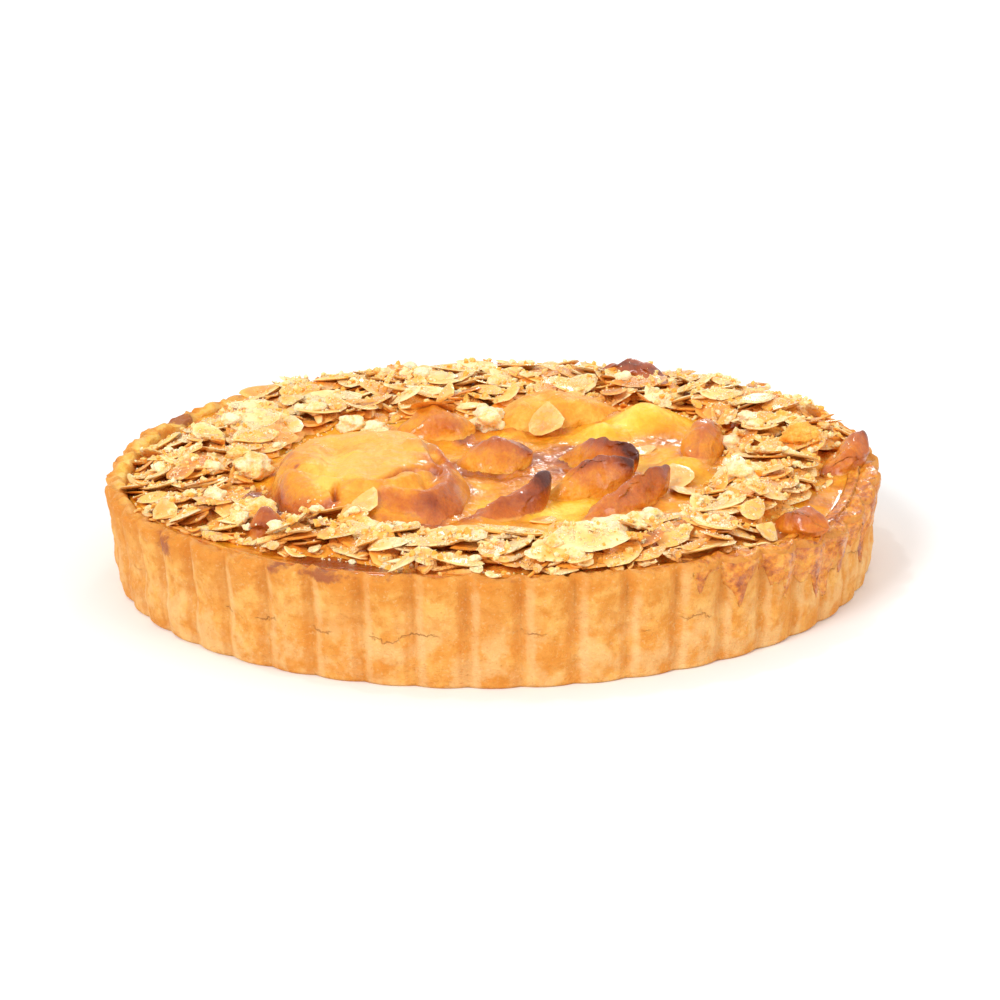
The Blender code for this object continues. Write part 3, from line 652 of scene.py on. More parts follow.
def quarter_shape(u, v):
    turn = math.tau * (u % 1.0)
    top = np.clip(v / 0.86, 0, 1)
    share = top ** 0.75
    under = np.clip((v - 0.86) / 0.14, 0, 1)
    longer = QUARTER_LENGTHENING * np.cos(2 * (turn - QUARTER_LONG_WAY))
    reach = QUARTER_RADIUS + longer + QUARTER_SHIFT * np.cos(turn - QUARTER_SHIFT_WAY)
    inward = np.where(under > 0, (1 - under) * 0.92, share)
    x = QUARTER_PLACE[0] + reach * inward * np.cos(turn)
    y = QUARTER_PLACE[1] + reach * inward * np.sin(turn)
    rise = (QUARTER_TOP - CUSTARD_HEIGHT) * (1 - share**QUARTER_FLATNESS) ** QUARTER_SHOULDER
    step = QUARTER_STEP * ease(-0.1, 0.5, np.cos(turn - QUARTER_STEP_WAY)) * ease(0.60, 0.70, share)
    z = CUSTARD_HEIGHT + rise - step
    proud = 1 - ease(0.80, 1.0, share)
    z += proud * 1.5 * strokes(x, y, QUARTER_FORMS)
    lumps = 0.0011 * drift(x / 0.013, y / 0.013, 4.4, 3)
    pits = 0.00035 * drift(x / 0.0030, y / 0.0030, 2.2, 2)
    z += proud * (lumps + pits)
    return x, y, np.where(under > 0, QUARTER_UNDERSIDE, z)


quarter = rolled("apple_quarter_flesh", 260, 120, quarter_shape)
spot = points_of(quarter)
edge = 1 - ease(-0.001, 0.0055, spot[:, 2] - CUSTARD_HEIGHT)
paint(quarter, "brown", 0.18 + strokes(spot[:, 0], spot[:, 1], QUARTER_TONES) + 0.10 * edge)
paint(quarter, "film", 0.30 - 0.2 * edge + strokes(spot[:, 0], spot[:, 1], (
    (((-0.0500, -0.0050), (-0.0300, -0.0050), (-0.0290, -0.0250), (-0.0360, -0.0420)), 0.0110, 0.60),
    (((-0.0500, -0.0500), (-0.0480, -0.0300)), 0.0060, 0.30),
    (QUARTER_LIP, 0.0060, -0.60),
    (QUARTER_CREASE, 0.0016, -0.50),
    (((-0.0774, -0.0239), (-0.0658, -0.0519)), 0.0050, -0.60),
)))
quarter.data.materials.append(apple_finish)
dress(quarter, "baked_apple", "apple_quarter")
apples.append(quarter)

# ---- The custard ----
# Thick baked custard poured round the apple up to just below the rim. It clings to each piece of apple,
# stays pale and creamy in the hollows, and its skin turns amber where the syrup has run.
FILLING_FLOOR = FLOOR_THICKNESS + 0.0004
EDGE_RISE = 0.0010
SUNK_DIRECTION = math.radians(172)
SUNK_HALF_ANGLE = math.radians(34)
SUNK_DEPTH = 0.0026
MAP_CELL = 0.00075
MAP_HALF = 0.1260
MAP_SIZE = round(2 * MAP_HALF / MAP_CELL)
RAY_HEIGHT = 0.1


def height_map(pieces):
    """The highest point of the pieces in each cell of a square map, and 0 where there is none."""
    heights = np.zeros((MAP_SIZE, MAP_SIZE))
    graph = bpy.context.evaluated_depsgraph_get()
    down = Vector((0, 0, -1))
    for piece in pieces:
        tree = BVHTree.FromObject(piece, graph)
        low, high = points_of(piece).min(0), points_of(piece).max(0)
        first = np.clip(((low[:2] + MAP_HALF) / MAP_CELL).astype(int), 0, MAP_SIZE - 1)
        last = np.clip(((high[:2] + MAP_HALF) / MAP_CELL).astype(int) + 1, 0, MAP_SIZE)
        for i in range(first[0], last[0]):
            x = (i + 0.5) * MAP_CELL - MAP_HALF
            for j in range(first[1], last[1]):
                hit = tree.ray_cast(Vector((x, (j + 0.5) * MAP_CELL - MAP_HALF, RAY_HEIGHT)), down)[0]
                if hit is not None:
                    heights[i, j] = max(heights[i, j], hit.z)
    return heights


def cell_of(x, y):
    i = np.clip(((x + MAP_HALF) / MAP_CELL).astype(int), 0, MAP_SIZE - 1)
    j = np.clip(((y + MAP_HALF) / MAP_CELL).astype(int), 0, MAP_SIZE - 1)
    return i, j


def blurred(values, reach):
    """A square map smoothed over reach cells each way."""
    for axis in (0, 1, 0, 1):
        margins = [(reach + 1, reach) if side == axis else (0, 0) for side in (0, 1)]
        padded = np.cumsum(np.pad(values, margins), axis)
        upper = padded.take(range(2 * reach + 1, padded.shape[axis]), axis)
        lower = padded.take(range(0, padded.shape[axis] - 2 * reach - 1), axis)
        values = (upper - lower) / (2 * reach + 1)
    return values


apple_heights = height_map(apples)
cell_x, cell_y = np.meshgrid(*[(np.arange(MAP_SIZE) + 0.5) * MAP_CELL - MAP_HALF] * 2, indexing="ij")
level_map = custard_level(cell_x.ravel(), cell_y.ravel()).reshape(cell_x.shape)
cling_map = blurred((apple_heights > level_map + 0.0002).astype(float), 2)
POOLS = (
    (((0.0060, 0.0080), (0.0190, -0.0020), (0.0240, 0.0080)), 0.0100, 1.0),
    (((-0.0090, -0.0190), (0.0080, -0.0230), (0.0200, -0.0170)), 0.0060, 0.9),
    (((-0.0560, -0.0680), (-0.0300, -0.0690), (-0.0200, -0.0640)), 0.0060, 0.8),
    (((-0.0080, 0.0240), (0.0000, 0.0180)), 0.0050, 0.9),
    (((0.0360, 0.0120), (0.0500, 0.0180), (0.0620, 0.0180)), 0.0050, 0.6),
    (((-0.0900, 0.0000), (-0.0850, -0.0300)), 0.0060, 0.4),
    (((-0.0760, -0.0290), (-0.0715, -0.0430), (-0.0660, -0.0550)), 0.0036, 1.5),
    (((-0.0530, -0.0965), (-0.0380, -0.1035), (-0.0240, -0.1075)), 0.0050, 1.5),
    (((-0.0620, -0.0860), (-0.0500, -0.0900)), 0.0040, 0.8),
)
CREAM = (
    (((0.0150, -0.0590), (0.0260, -0.0530)), 0.0075, 1.0),
    (((0.0365, 0.0230), (0.0355, 0.0190)), 0.0065, 1.0),
    (((0.0470, 0.0330), (0.0580, 0.0380)), 0.0100, 0.5),
    (((0.0400, -0.0650), (0.0300, -0.0700)), 0.0060, 0.4),
    (((0.0600, -0.0190), (0.0560, -0.0280)), 0.0070, 0.3),
)


def custard_skin(x, y):
    """The baked surface: it climbs the last of the rim, and has sunk a little along one stretch of it."""
    radius, turn = np.hypot(x, y), np.arctan2(y, x)
    sunk = hump(turn, SUNK_DIRECTION, SUNK_HALF_ANGLE) * ease(0.096, 0.106, radius)
    return custard_level(x, y) + EDGE_RISE * ease(0.1120, 0.1168, radius) * (1 - sunk) - SUNK_DEPTH * sunk


def filling_shape(u, v):
    turn = math.tau * (u % 1.0)
    top = np.clip(v / 0.93, 0, 1)
    under = np.clip((v - 0.93) / 0.07, 0, 1)
    brim, foot = INNER_RADIUS_TOP - 0.0003, INNER_RADIUS_FLOOR - 0.0004
    radius = np.where(under > 0, np.interp(under, (0, 0.5, 1), (brim, foot, 0)), brim * top)
    x, y = radius * np.cos(turn), radius * np.sin(turn)
    i, j = cell_of(x, y)
    z = custard_skin(x, y) + 0.0016 * cling_map[i, j]
    skinned = 0.0007 * drift(x / 0.006, y / 0.006, 7.7, 3) + 0.0012 * drift(x / 0.017, y / 0.017, 2.7, 2)
    z += skinned * ease(0.0, 0.02, brim - radius)
    below = np.interp(under, (0, 0.5, 1), (1, 0, 0)) * (z - FILLING_FLOOR) + FILLING_FLOOR
    return x, y, np.where(under > 0, below, z)


custard = rolled("baked_custard", 460, 200, filling_shape)
spot = points_of(custard)
singed = 0.34 + 0.5 * drift(spot[:, 0] / 0.012, spot[:, 1] / 0.012, 6.6, 2)
singed = singed * ease(0.1030, 0.1150, np.hypot(spot[:, 0], spot[:, 1]))
i, j = cell_of(spot[:, 0], spot[:, 1])
paint(custard, "pool", strokes(spot[:, 0], spot[:, 1], POOLS) + singed)
paint(custard, "cream", strokes(spot[:, 0], spot[:, 1], CREAM))
paint(custard, "beside", blurred((apple_heights > level_map + 0.0006).astype(float), 4)[i, j])

skin = Finish(
    "baked_custard",
    Subsurface_Weight=0.25,
    Subsurface_Scale=0.003,
    Coat_Roughness=0.05,
    Specular_IOR_Level=0.30,
)
tone = 0.43 + skin.mottle(0.80, 95, 3) + skin.mottle(0.24, 420, 3, 0.6)
tone = tone + skin.painted("pool") * 0.44 - skin.painted("cream") * 0.44
tone = tone + skin.span(skin.painted("beside") + skin.mottle(0.5, 180, 2), 0.05, 0.55) * 0.26
colour = skin.ramp(
    tone,
    (0.00, (0.98, 0.72, 0.125)),
    (0.25, (0.94, 0.50, 0.030)),
    (0.50, (0.80, 0.300, 0.012)),
    (0.75, (0.56, 0.145, 0.008)),
    (1.00, (0.28, 0.052, 0.006)),
)
syrupy = skin.painted("pool") + skin.painted("beside") * 0.5 + skin.mottle(1.2, 110, 3)
runny = skin.span(syrupy, 0.10, 0.45)
custard.data.materials.append(skin.feed(
    Base_Color=colour,
    Roughness=0.40 - runny * 0.2 + skin.noise(260, 2) * 0.12,
    Coat_Weight=0.04 + runny * 0.46,
    Normal=skin.bump(skin.noise(700, 3), 0.0004, skin.bump(skin.noise(160, 2), 0.0016)),
))
dress(custard, "custard", "filling")

# ---- The amber syrup ----
# Where the filling boiled over, a thin sticky sheet of syrup and custard covers the rim and runs down the
# outside of the crust in tongues. It has baked on, brown and glossy.
SYRUP_HALF_ANGLE = OVERFLOW_HALF_ANGLE * 1.12
SYRUP_START = 0.1135
SYRUP_TURN_OVER = 0.40
SYRUP_THICKNESS = 0.00045
RAY_REACH = 0.2


def ground_under(x, y, trees):
    """Height of the highest of these surfaces at a place."""
    hits = [tree.ray_cast(Vector((x, y, RAY_HEIGHT)), Vector((0, 0, -1)))[0] for tree in trees]
    return max(hit.z for hit in hits if hit is not None)


def wall_place(out, height):
    """Where the outside of the crust lies in this direction at this height."""
    return syrup_trees[0].ray_cast(out * RAY_REACH + Vector((0, 0, height)), -out)[0]


def syrup_shape(u, v):
    """u runs outward over the rim and down the wall, then back under the sheet; v runs along the rim."""
    turn = OVERFLOW_DIRECTION + (2 * v - 1) * SYRUP_HALF_ANGLE
    path = 1 - np.abs(2 * (u % 1.0) - 1)
    fullness = (np.sin(math.pi * path) * np.sin(math.pi * v)) ** 0.4
    upper = np.where((u % 1.0) < 0.5, 1, -1) * SYRUP_THICKNESS * fullness
    swell = 1 + 0.8 * drift(50 * np.cos(turn) * path, 50 * np.sin(turn), 5.1, 2)
    lowest = 0.013 + 0.019 * (2 * v - 1) ** 2 + 0.011 * drift(22 * np.cos(turn), 22 * np.sin(turn), 2.4, 2)
    lifts = np.where(upper > 0, upper * swell, upper)
    places = []
    for angle, share, foot, lift in zip(turn, path, lowest, lifts):
        out = Vector((math.cos(angle), math.sin(angle), 0))
        top = rim_height(np.array([angle]))[0] - 0.0018
        if share < SYRUP_TURN_OVER:
            brink = wall_place(out, top).xy.length - 0.0009
            over = out * (SYRUP_START + (brink - SYRUP_START) * share / SYRUP_TURN_OVER)
            places.append((over.x, over.y, ground_under(over.x, over.y, syrup_trees) + lift))
        else:
            down = (share - SYRUP_TURN_OVER) / (1 - SYRUP_TURN_OVER)
            place = wall_place(out, top + (min(foot, top - 0.001) - top) * down)
            places.append(tuple(place + out * lift))
    return np.array(places).T


bpy.context.view_layer.update()
syrup_trees = [BVHTree.FromObject(piece, bpy.context.evaluated_depsgraph_get()) for piece in (crust, custard)]
syrup = rolled("amber_syrup", 90, 150, syrup_shape)
amber = Finish("amber_syrup", Subsurface_Weight=0.2, Subsurface_Scale=0.001, Coat_Roughness=0.12)
syrup.data.materials.append(amber.feed(
    Base_Color=amber.ramp(
        amber.noise(150, 4, 0.6) + amber.mottle(0.4, 600, 3),
        (0.28, (0.88, 0.42, 0.050)),
        (0.46, (0.78, 0.27, 0.018)),
        (0.60, (0.56, 0.15, 0.012)),
        (0.78, (0.28, 0.055, 0.010)),
    ),
    Roughness=0.28 + amber.noise(400, 2) * 0.2,
    Coat_Weight=amber.span(amber.noise(240, 2), 0.4, 0.6) * 0.6,
    Normal=amber.bump(amber.noise(420, 4, 0.6), 0.0012),
))
dress(syrup, "custard")

# ---- The almond border ----
# Flaked almonds tossed with sugar and heaped round the rim before baking. They lie on each other as they
# fell: whole and broken flakes, slivers and bits, pale with tan edges, some toasted or soaked in syrup.
BORDER_GAP = 0.0007
BORDER_EDGE = 0.0010
BORDER_HEAP_FRONT = 0.0020
BORDER_HEAP_BACK = 0.0032
BORDER_LUMPS = 0.0016
BORDER_OUTER = 0.1150
BORDER_INNER = 0.0740
BORDER_INNER_FRONT = 0.0090
BORDER_INNER_BACK = 0.0170
BORDER_WAVES = ((5, 1.0, 0.00168), (9, 2.2, 0.00112))
BARE_STRETCHES = (
    (math.radians(236), math.radians(26), 0.0075),
    (math.radians(250), math.radians(13), 0.0045),
    (math.radians(186), math.radians(9), 0.0030),
    (math.radians(152), math.radians(22), 0.0090),
    (math.radians(-25), math.radians(30), 0.0110),
)
OPEN_STRETCHES = (
    (math.radians(32), math.radians(38), 0.0150),
    (math.radians(-58), math.radians(30), 0.0030),
)
BARE_SPOTS = (
    (((-0.0760, -0.0290), (-0.0715, -0.0430), (-0.0660, -0.0550)), 0.0050, 1),
    (((-0.0500, -0.0650), (-0.0200, -0.0700)), 0.0055, 1),
    (((0.0020, -0.0710), (0.0330, -0.0710)), 0.0075, 1),
    (((-0.0500, -0.0995), (-0.0400, -0.1042), (-0.0260, -0.1085)), 0.0030, 1),
)
BORDER_PILE_WAY = math.radians(18)
BORDER_PILE_HALF = math.radians(60)
BORDER_PILE = 0.0024
FLAKE_COUNT = 1500
FLAKE_THICKNESS = 0.0009
FLAKE_ABOVE = 0.0004
LAST_FLAKES = 420
LAST_ABOVE = 0.0011
HIGHEST_END = 0.0028
BEDDING = 0.86
LEAN_SPREAD = 0.0011
FLAKE_SINK = 0.00025
FLAKE_SEED = 11


def border_edges(turn):
    """Inner and outer radius of the almond border in this direction."""
    front, back = np.maximum(0, -np.sin(turn)), np.maximum(0, np.sin(turn))
    inner = BORDER_INNER + BORDER_INNER_FRONT * front - BORDER_INNER_BACK * back + waves(turn, BORDER_WAVES)
    inner = inner + sum(depth * hump(turn, way, half) for way, half, depth in OPEN_STRETCHES)
    outer = BORDER_OUTER - sum(depth * hump(turn, way, half) for way, half, depth in BARE_STRETCHES)
    return inner, outer


def border_top(x, y):
    radius, turn = np.hypot(x, y), np.arctan2(y, x)
    inner, outer = border_edges(turn)
    share = np.clip((radius - inner) / (outer - inner), 0, 1)
    middle = (BORDER_HEAP_BACK + BORDER_HEAP_FRONT) / 2
    heap = middle + (BORDER_HEAP_BACK - middle) * np.sin(turn)
    heap = heap + BORDER_PILE * hump(turn, BORDER_PILE_WAY, BORDER_PILE_HALF)
    heap = heap * np.sin(math.pi * (0.06 + 0.86 * share)) ** 0.6
    heap = heap * (1 - 0.7 * np.maximum(0, -np.sin(turn)) * (1 - ease(0.0, 0.6, share)))
    lumps = BORDER_LUMPS * drift(x / 0.012, y / 0.012, 5.7) * heap / middle
    return custard_skin(x, y) + BORDER_GAP + BORDER_EDGE + heap + lumps


def crumb_bed_shape(u, v):
    """A ring of baked crumb: v runs over it from the inner edge to the outer, then back underneath."""
    turn = math.tau * (u % 1.0)
    inner, outer = border_edges(turn)
    inner = inner + 0.0030 * drift(6 * np.cos(turn), 6 * np.sin(turn), 3.3, 2)
    under = np.clip((v - 0.85) / 0.15, 0, 1)
    share = np.where(under > 0, 1 - under, np.clip(v / 0.85, 0, 1))
    radius = inner + (outer + 0.0010 - inner) * share
    x, y = radius * np.cos(turn), radius * np.sin(turn)
    ground = custard_skin(x, y)
    arch = np.sin(math.pi * share) ** 0.35
    clumps = drift(x / 0.0065, y / 0.0065, 6.1, 3)
    grit = drift(x / 0.0016, y / 0.0016, 9.9, 2)
    rise = (border_top(x, y) - ground) * (0.30 + 0.42 * clumps) + 0.00035 * grit
    return x, y, ground - 0.0005 + np.where(under > 0, 0, np.maximum(rise + 0.0005, 0.0001) * arch)


crumb_bed = rolled("baked_crumb", 820, 66, crumb_bed_shape)
sandy = Finish("sugar_crumb", Subsurface_Weight=0.3, Subsurface_Scale=0.002, Specular_IOR_Level=0.3)
grit = sandy.noise(900, 4, 0.7)
tone = sandy.noise(230, 4, 0.6) + (grit - 0.5) * 0.6 + sandy.painted("tone")
crumb_finish = sandy.feed(
    Base_Color=sandy.ramp(
        tone,
        (0.18, (0.94, 0.340, 0.030)),
        (0.42, (0.97, 0.470, 0.075)),
        (0.58, (0.99, 0.640, 0.220)),
        (0.80, (1.00, 0.840, 0.530)),
    ),
    Roughness=0.55 + grit * 0.35,
    Normal=sandy.bump(1 - sandy.grains(1300), 0.00025, sandy.bump(sandy.noise(450, 3), 0.0007)),
)
crumb_bed.data.materials.append(crumb_finish)
dress(crumb_bed, "almond")


def pressed_flake():
    """A round flake 1 across with a bevelled edge: its points, faces and distances from the middle."""
    bpy.ops.mesh.primitive_uv_sphere_add(segments=12, ring_count=4, radius=1)
    ball = bpy.context.object
    bpy.ops.object.mode_set(mode="EDIT")
    bpy.ops.mesh.select_all(action="SELECT")
    bpy.ops.mesh.quads_convert_to_tris()
    bpy.ops.object.mode_set(mode="OBJECT")
    points = points_of(ball)
    faces = np.array([tuple(face.vertices) for face in ball.data.polygons])
    bpy.data.objects.remove(ball)
    flat = np.hypot(points[:, 0], points[:, 1])
    share = flat ** 0.55
    outward = np.where(flat > 1e-6, share / np.maximum(flat, 1e-6), 0)
    points[:, 0] *= outward / 2
    points[:, 1] *= outward / 2
    points[:, 2] = np.sign(points[:, 2]) * np.abs(points[:, 2]) ** 0.45 / 2
    return points, faces, share


def joined(name, parts, faces, attributes, finish, smooth=True):
    """One mesh from many copies of the same faces, each with its own points and numbers to paint."""
    count = len(parts[0])
    mesh = bpy.data.meshes.new(name)
    every = np.concatenate([faces + count * i for i in range(len(parts))])
    mesh.from_pydata(np.concatenate(parts), [], every)
    piece = bpy.data.objects.new(name, mesh)
    bpy.context.scene.collection.objects.link(piece)
    if smooth:
        mesh.shade_smooth()
    for attribute, values in attributes.items():
        paint(piece, attribute, np.concatenate(values))
    mesh.materials.append(finish)
    dress(piece, "almond")
    return piece


top_map = np.maximum(height_map([custard, crust, crumb_bed]), apple_heights)
heap_map = border_top(cell_x.ravel(), cell_y.ravel()).reshape(cell_x.shape)
apple_map = blurred((apple_heights > level_map + 0.0006).astype(float), 1) > 0.3
apple_map |= strokes(cell_x.ravel(), cell_y.ravel(), BARE_SPOTS).reshape(cell_x.shape) > 0.5
draw = random.Random(FLAKE_SEED)
flake_points, flake_faces, flake_share = pressed_flake()
LEANS = np.tan(np.radians([(a, b) for a in range(-32, 33, 8) for b in range(-32, 33, 8)]))
disc_turns = np.linspace(0, math.tau, 14, endpoint=False)
SUPPORTS = np.array([(0, 0)] + [
    (reach * math.cos(turn) / 2, reach * math.sin(turn) / 2) for reach in (0.5, 0.95) for turn in disc_turns
])
square = [(a, b) for a in np.linspace(-0.5, 0.5, 30) for b in np.linspace(-0.5, 0.5, 22)]
FOOTPRINT = np.array([(a, b) for a, b in square if a * a + b * b < 0.25])


def flake_outline(points, length, width, kind):
    """Makes a round flake a real one: drawn to a point at its ends, and cut short where it broke."""
    shaped = points.copy()
    drawn_in = kind["taper"] * 2 * points[:, 0] + kind["point"] * np.abs(2 * points[:, 0]) ** 1.5
    shaped[:, 1] *= width * (1 - drawn_in)
    shaped[:, 0] *= length
    if kind["broken"]:
        cut = kind["cut"] * length + kind["slant"] * shaped[:, 1]
        shaped[:, 0] = np.minimum(shaped[:, 0], cut)
    return shaped


def spread_at(flat, x, y, heading):
    """x and y of the points of a flat flake, turned to its heading at its place."""
    cos, sin = math.cos(heading), math.sin(heading)
    return x + flat[:, 0] * cos - flat[:, 1] * sin, y + flat[:, 0] * sin + flat[:, 1] * cos


def settle(x, y, heading, supports, spread):
    """Where a flake comes to rest: of all its leans, the one that lets it lie lowest."""
    ground = top_map[cell_of(*spread_at(supports, x, y, heading))]
    heights = np.quantile(ground - LEANS @ supports.T, BEDDING, axis=1)
    best = np.argmin(heights + spread * np.array([draw.random() for _ in heights]))
    return LEANS[best], heights[best]


def laid(shaped, x, y, z, heading, lean):
    """The shaped flake turned to its heading and lean, at its place."""
    along = np.array((1, 0, lean[0])) / math.hypot(1, lean[0])
    normal = np.cross(along, (0, 1, lean[1]))
    normal /= np.linalg.norm(normal)
    aside = np.cross(normal, along)
    cos, sin = math.cos(heading), math.sin(heading)
    turn = np.array(((cos, -sin, 0), (sin, cos, 0), (0, 0, 1)))
    return shaped @ np.array((along, aside, normal)) @ turn.T + np.array((x, y, z))


flakes = {"pale": [], "toasted": [], "sliver": []}
flake_numbers = {key: {"tone": [], "edge": [], "wet": []} for key in flakes}


def lay_flake(x, y, heading, length, width, kind, tone, wet):
    """Lays one flake on what is already there, and raises the map under it."""
    shape = {
        "taper": draw.uniform(0.05, 0.25),
        "point": draw.uniform(0.05, 0.38),
        "broken": draw.random() < 0.40,
        "cut": draw.uniform(-0.05, 0.36),
        "slant": draw.uniform(-0.5, 0.5),
    }
    lean, rest = settle(x, y, heading, flake_outline(SUPPORTS, length, width, shape), LEAN_SPREAD)
    thickness = FLAKE_THICKNESS * draw.uniform(0.75, 1.25)
    shaped = flake_outline(flake_points, length, width, shape)
    shaped[:, 2] *= thickness
    bow, twist = draw.uniform(-0.7, 1.3) * MILLIMETRE, draw.uniform(-1, 1) * MILLIMETRE
    along, aside = shaped[:, 0], shaped[:, 1]
    shaped[:, 2] += bow * (2 * along / length) ** 2 + twist * along * aside / (length * width) * 4
    rough = drift(flake_points[:, 0] * 4 + 10 * x, flake_points[:, 1] * 4 + 10 * y, 100 * heading)
    shaped[:, :2] *= 1 + 0.17 * rough[:, None] * flake_share[:, None]
    flakes[kind].append(laid(shaped, x, y, rest + thickness / 2 - FLAKE_SINK, heading, lean))
    numbers = flake_numbers[kind]
    numbers["tone"].append(np.full(len(shaped), tone))
    numbers["edge"].append(flake_share)
    numbers["wet"].append(np.full(len(shaped), wet))
    footprint = flake_outline(FOOTPRINT, length, width, shape)
    cells = cell_of(*spread_at(footprint, x, y, heading))
    np.maximum.at(top_map, cells, rest + footprint @ lean + thickness - FLAKE_SINK)


def clear(x, y, heading, supports):
    """Whether a flake laid here keeps off the apple and within the border."""
    reach_x, reach_y = spread_at(supports, x, y, heading)
    radius = np.hypot(reach_x, reach_y)
    inner, outer = border_edges(np.arctan2(reach_y, reach_x))
    inside = (radius > inner - 0.0020).all() and (radius < outer + 0.0048).all()
    return inside and not apple_map[cell_of(reach_x, reach_y)].any()


def low_spot(length, width, tries, above):
    """Of a few clear places for a flake, the one where it would lie lowest against the finished heap."""
    best = None
    supports = SUPPORTS * (length, width)
    for _ in range(tries):
        turn = draw.uniform(0, math.tau)
        inner, outer = border_edges(turn)
        radius = math.sqrt(draw.uniform((inner - 0.001) ** 2, (outer + 0.003) ** 2))
        x, y, heading = radius * math.cos(turn), radius * math.sin(turn), draw.uniform(0, math.tau)
        if clear(x, y, heading, supports):
            i, j = cell_of(np.array([x]), np.array([y]))
            lean, rest = settle(x, y, heading, supports, 0)
            over = rest - heap_map[i[0], j[0]]
            if over < above and over + (supports @ lean).max() < HIGHEST_END:
                best, above = (x, y, heading), over
    return best


for number in range(FLAKE_COUNT):
    last = number > FLAKE_COUNT - LAST_FLAKES
    size, chance = draw.random(), draw.random() + 0.22 * last
    if chance < 0.30:
        kind, length, width = "sliver", draw.uniform(0.0035, 0.0080), draw.uniform(0.0022, 0.0050)
        tone, wet = draw.gauss(0.30, 0.18), draw.random() ** 2
    elif chance < 0.40:
        kind, length, width = "sliver", draw.uniform(0.010, 0.018), draw.uniform(0.0018, 0.0034)
        tone, wet = draw.gauss(0.30, 0.18), draw.random() ** 2
    elif chance < 0.58:
        kind, length, width = "toasted", 0.0120 + 0.0080 * size, 0.0070 + 0.0035 * size
        tone, wet = draw.gauss(0.55, 0.13), draw.random()
    else:
        kind, length, width = "pale", 0.0125 + 0.0085 * size, 0.0068 + 0.0040 * size
        tone, wet = draw.gauss(0.24, 0.15), draw.random() ** 2
    place = low_spot(length, width, 9, FLAKE_ABOVE + LAST_ABOVE * last)
    if place:
        lay_flake(*place, length, width, kind, tone, wet)
# Flakes that can be told apart: place, heading in degrees, length, width, kind, tone and how wet with syrup
SINGLE_FLAKES = (
    (-0.0182, 0.0365, 20, 0.0195, 0.0120, "toasted", 0.62, 0.9),
    (-0.0781, 0.0267, 60, 0.0200, 0.0150, "pale", 0.06, 0.2),
    (-0.0697, 0.0199, 30, 0.0130, 0.0105, "toasted", 0.48, 1.0),
    (-0.0895, -0.0202, 10, 0.0170, 0.0100, "toasted", 0.66, 0.6),
    (0.0269, -0.1040, 3, 0.0235, 0.0135, "pale", 0.10, 0.4),
    (0.0815, -0.0590, 15, 0.0160, 0.0100, "pale", 0.28, 0.4),
    (-0.0497, -0.0690, 10, 0.0150, 0.0100, "toasted", 0.42, 1.0),
    (-0.0436, -0.0722, 170, 0.0150, 0.0095, "toasted", 0.46, 1.0),
    (-0.0380, -0.0655, 60, 0.0120, 0.0085, "pale", 0.36, 1.0),
    (0.0180, 0.0310, 80, 0.0150, 0.0130, "pale", 0.46, 1.0),
    (0.0386, 0.0040, 35, 0.0120, 0.0070, "pale", 0.36, 1.0),
    (0.0480, 0.0060, 40, 0.0120, 0.0065, "pale", 0.36, 1.0),
    (0.0575, -0.0300, 100, 0.0140, 0.0110, "pale", 0.36, 1.0),
    (0.0600, -0.0400, 130, 0.0130, 0.0100, "pale", 0.34, 1.0),
    (-0.0039, -0.0740, 4, 0.0200, 0.0090, "pale", 0.26, 0.3),
    (0.0060, -0.0800, 0, 0.0220, 0.0080, "pale", 0.16, 0.2),
    (-0.0596, -0.0807, 60, 0.0180, 0.0110, "pale", 0.12, 0.1),
    (0.0147, -0.0672, 20, 0.0090, 0.0065, "pale", 0.34, 1.0),
    (-0.0235, -0.1125, 5, 0.0140, 0.0080, "pale", 0.14, 0.1),
)
for x, y, heading, length, width, kind, tone, wet in SINGLE_FLAKES:
    lay_flake(x, y, math.radians(heading), length, width, kind, tone, wet)

settled_map = blurred(top_map, 2)


def shade_in_gaps(points, low, high):
    """0 on what stands proud of the finished heap, and 1 down in the gaps, for painted shade there."""
    return ease(low, high, settled_map[cell_of(points[:, 0], points[:, 1])] - points[:, 2])


# Painted shade: the crumb bed turns a deeper orange down in the gaps between flakes.
paint(crumb_bed, "tone", -0.04 - 0.24 * shade_in_gaps(points_of(crumb_bed), -0.0003, 0.0022))
for kind, numbers in flake_numbers.items():
    numbers["deep"] = [shade_in_gaps(points, -0.0002, 0.0024) for points in flakes[kind]]

almond = Finish("flaked_almond", Coat_Roughness=0.18, Specular_IOR_Level=0.4)
grain = almond.noise(500, 4, 0.6)
tone = almond.painted("tone") + almond.mottle(0.70, 160, 3) + (grain - 0.5) * 0.26
tone = tone + 0.07 - almond.span(almond.painted("edge"), 0.62, 1.0) * 0.18
colour = almond.ramp(
    tone,
    (0.00, (1.00, 0.80, 0.39)),
    (0.28, (1.00, 0.60, 0.150)),
    (0.52, (0.96, 0.415, 0.050)),
    (0.78, (0.72, 0.220, 0.018)),
    (1.00, (0.34, 0.075, 0.010)),
)
frost = almond.span(almond.noise(125, 3, 0.6) + almond.mottle(0.7, 800, 2), 0.50, 0.62)
frost = frost * (1 - almond.painted("wet") * 0.7)
colour = almond.mix(frost * 0.50, colour, (1.00, 0.80, 0.52))
# Painted shade: flakes turn orange where they lie down in the gaps of the heap.
colour = almond.mix(almond.painted("deep") * 0.85, colour, (1.00, 0.42, 0.050))
crystals = (1 - almond.grains(1400)) * frost
almond_finish = almond.feed(
    Base_Color=colour,
    Roughness=0.50 - almond.painted("wet") * 0.22,
    Coat_Weight=almond.painted("wet") * 0.8,
    Normal=almond.bump(crystals, 0.0007, almond.bump(grain, 0.0006)),
)
ALMOND_NAMES = {
    "pale": "almond_flakes_pale",
    "toasted": "almond_flakes_toasted",
    "sliver": "almond_slivers",
}
almonds = []
for kind, name in ALMOND_NAMES.items():
    piece = joined(name, flakes[kind], flake_faces, flake_numbers[kind], almond_finish, smooth=False)
    almonds.append(piece)
    if kind == "pale":
        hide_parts("almond_border")

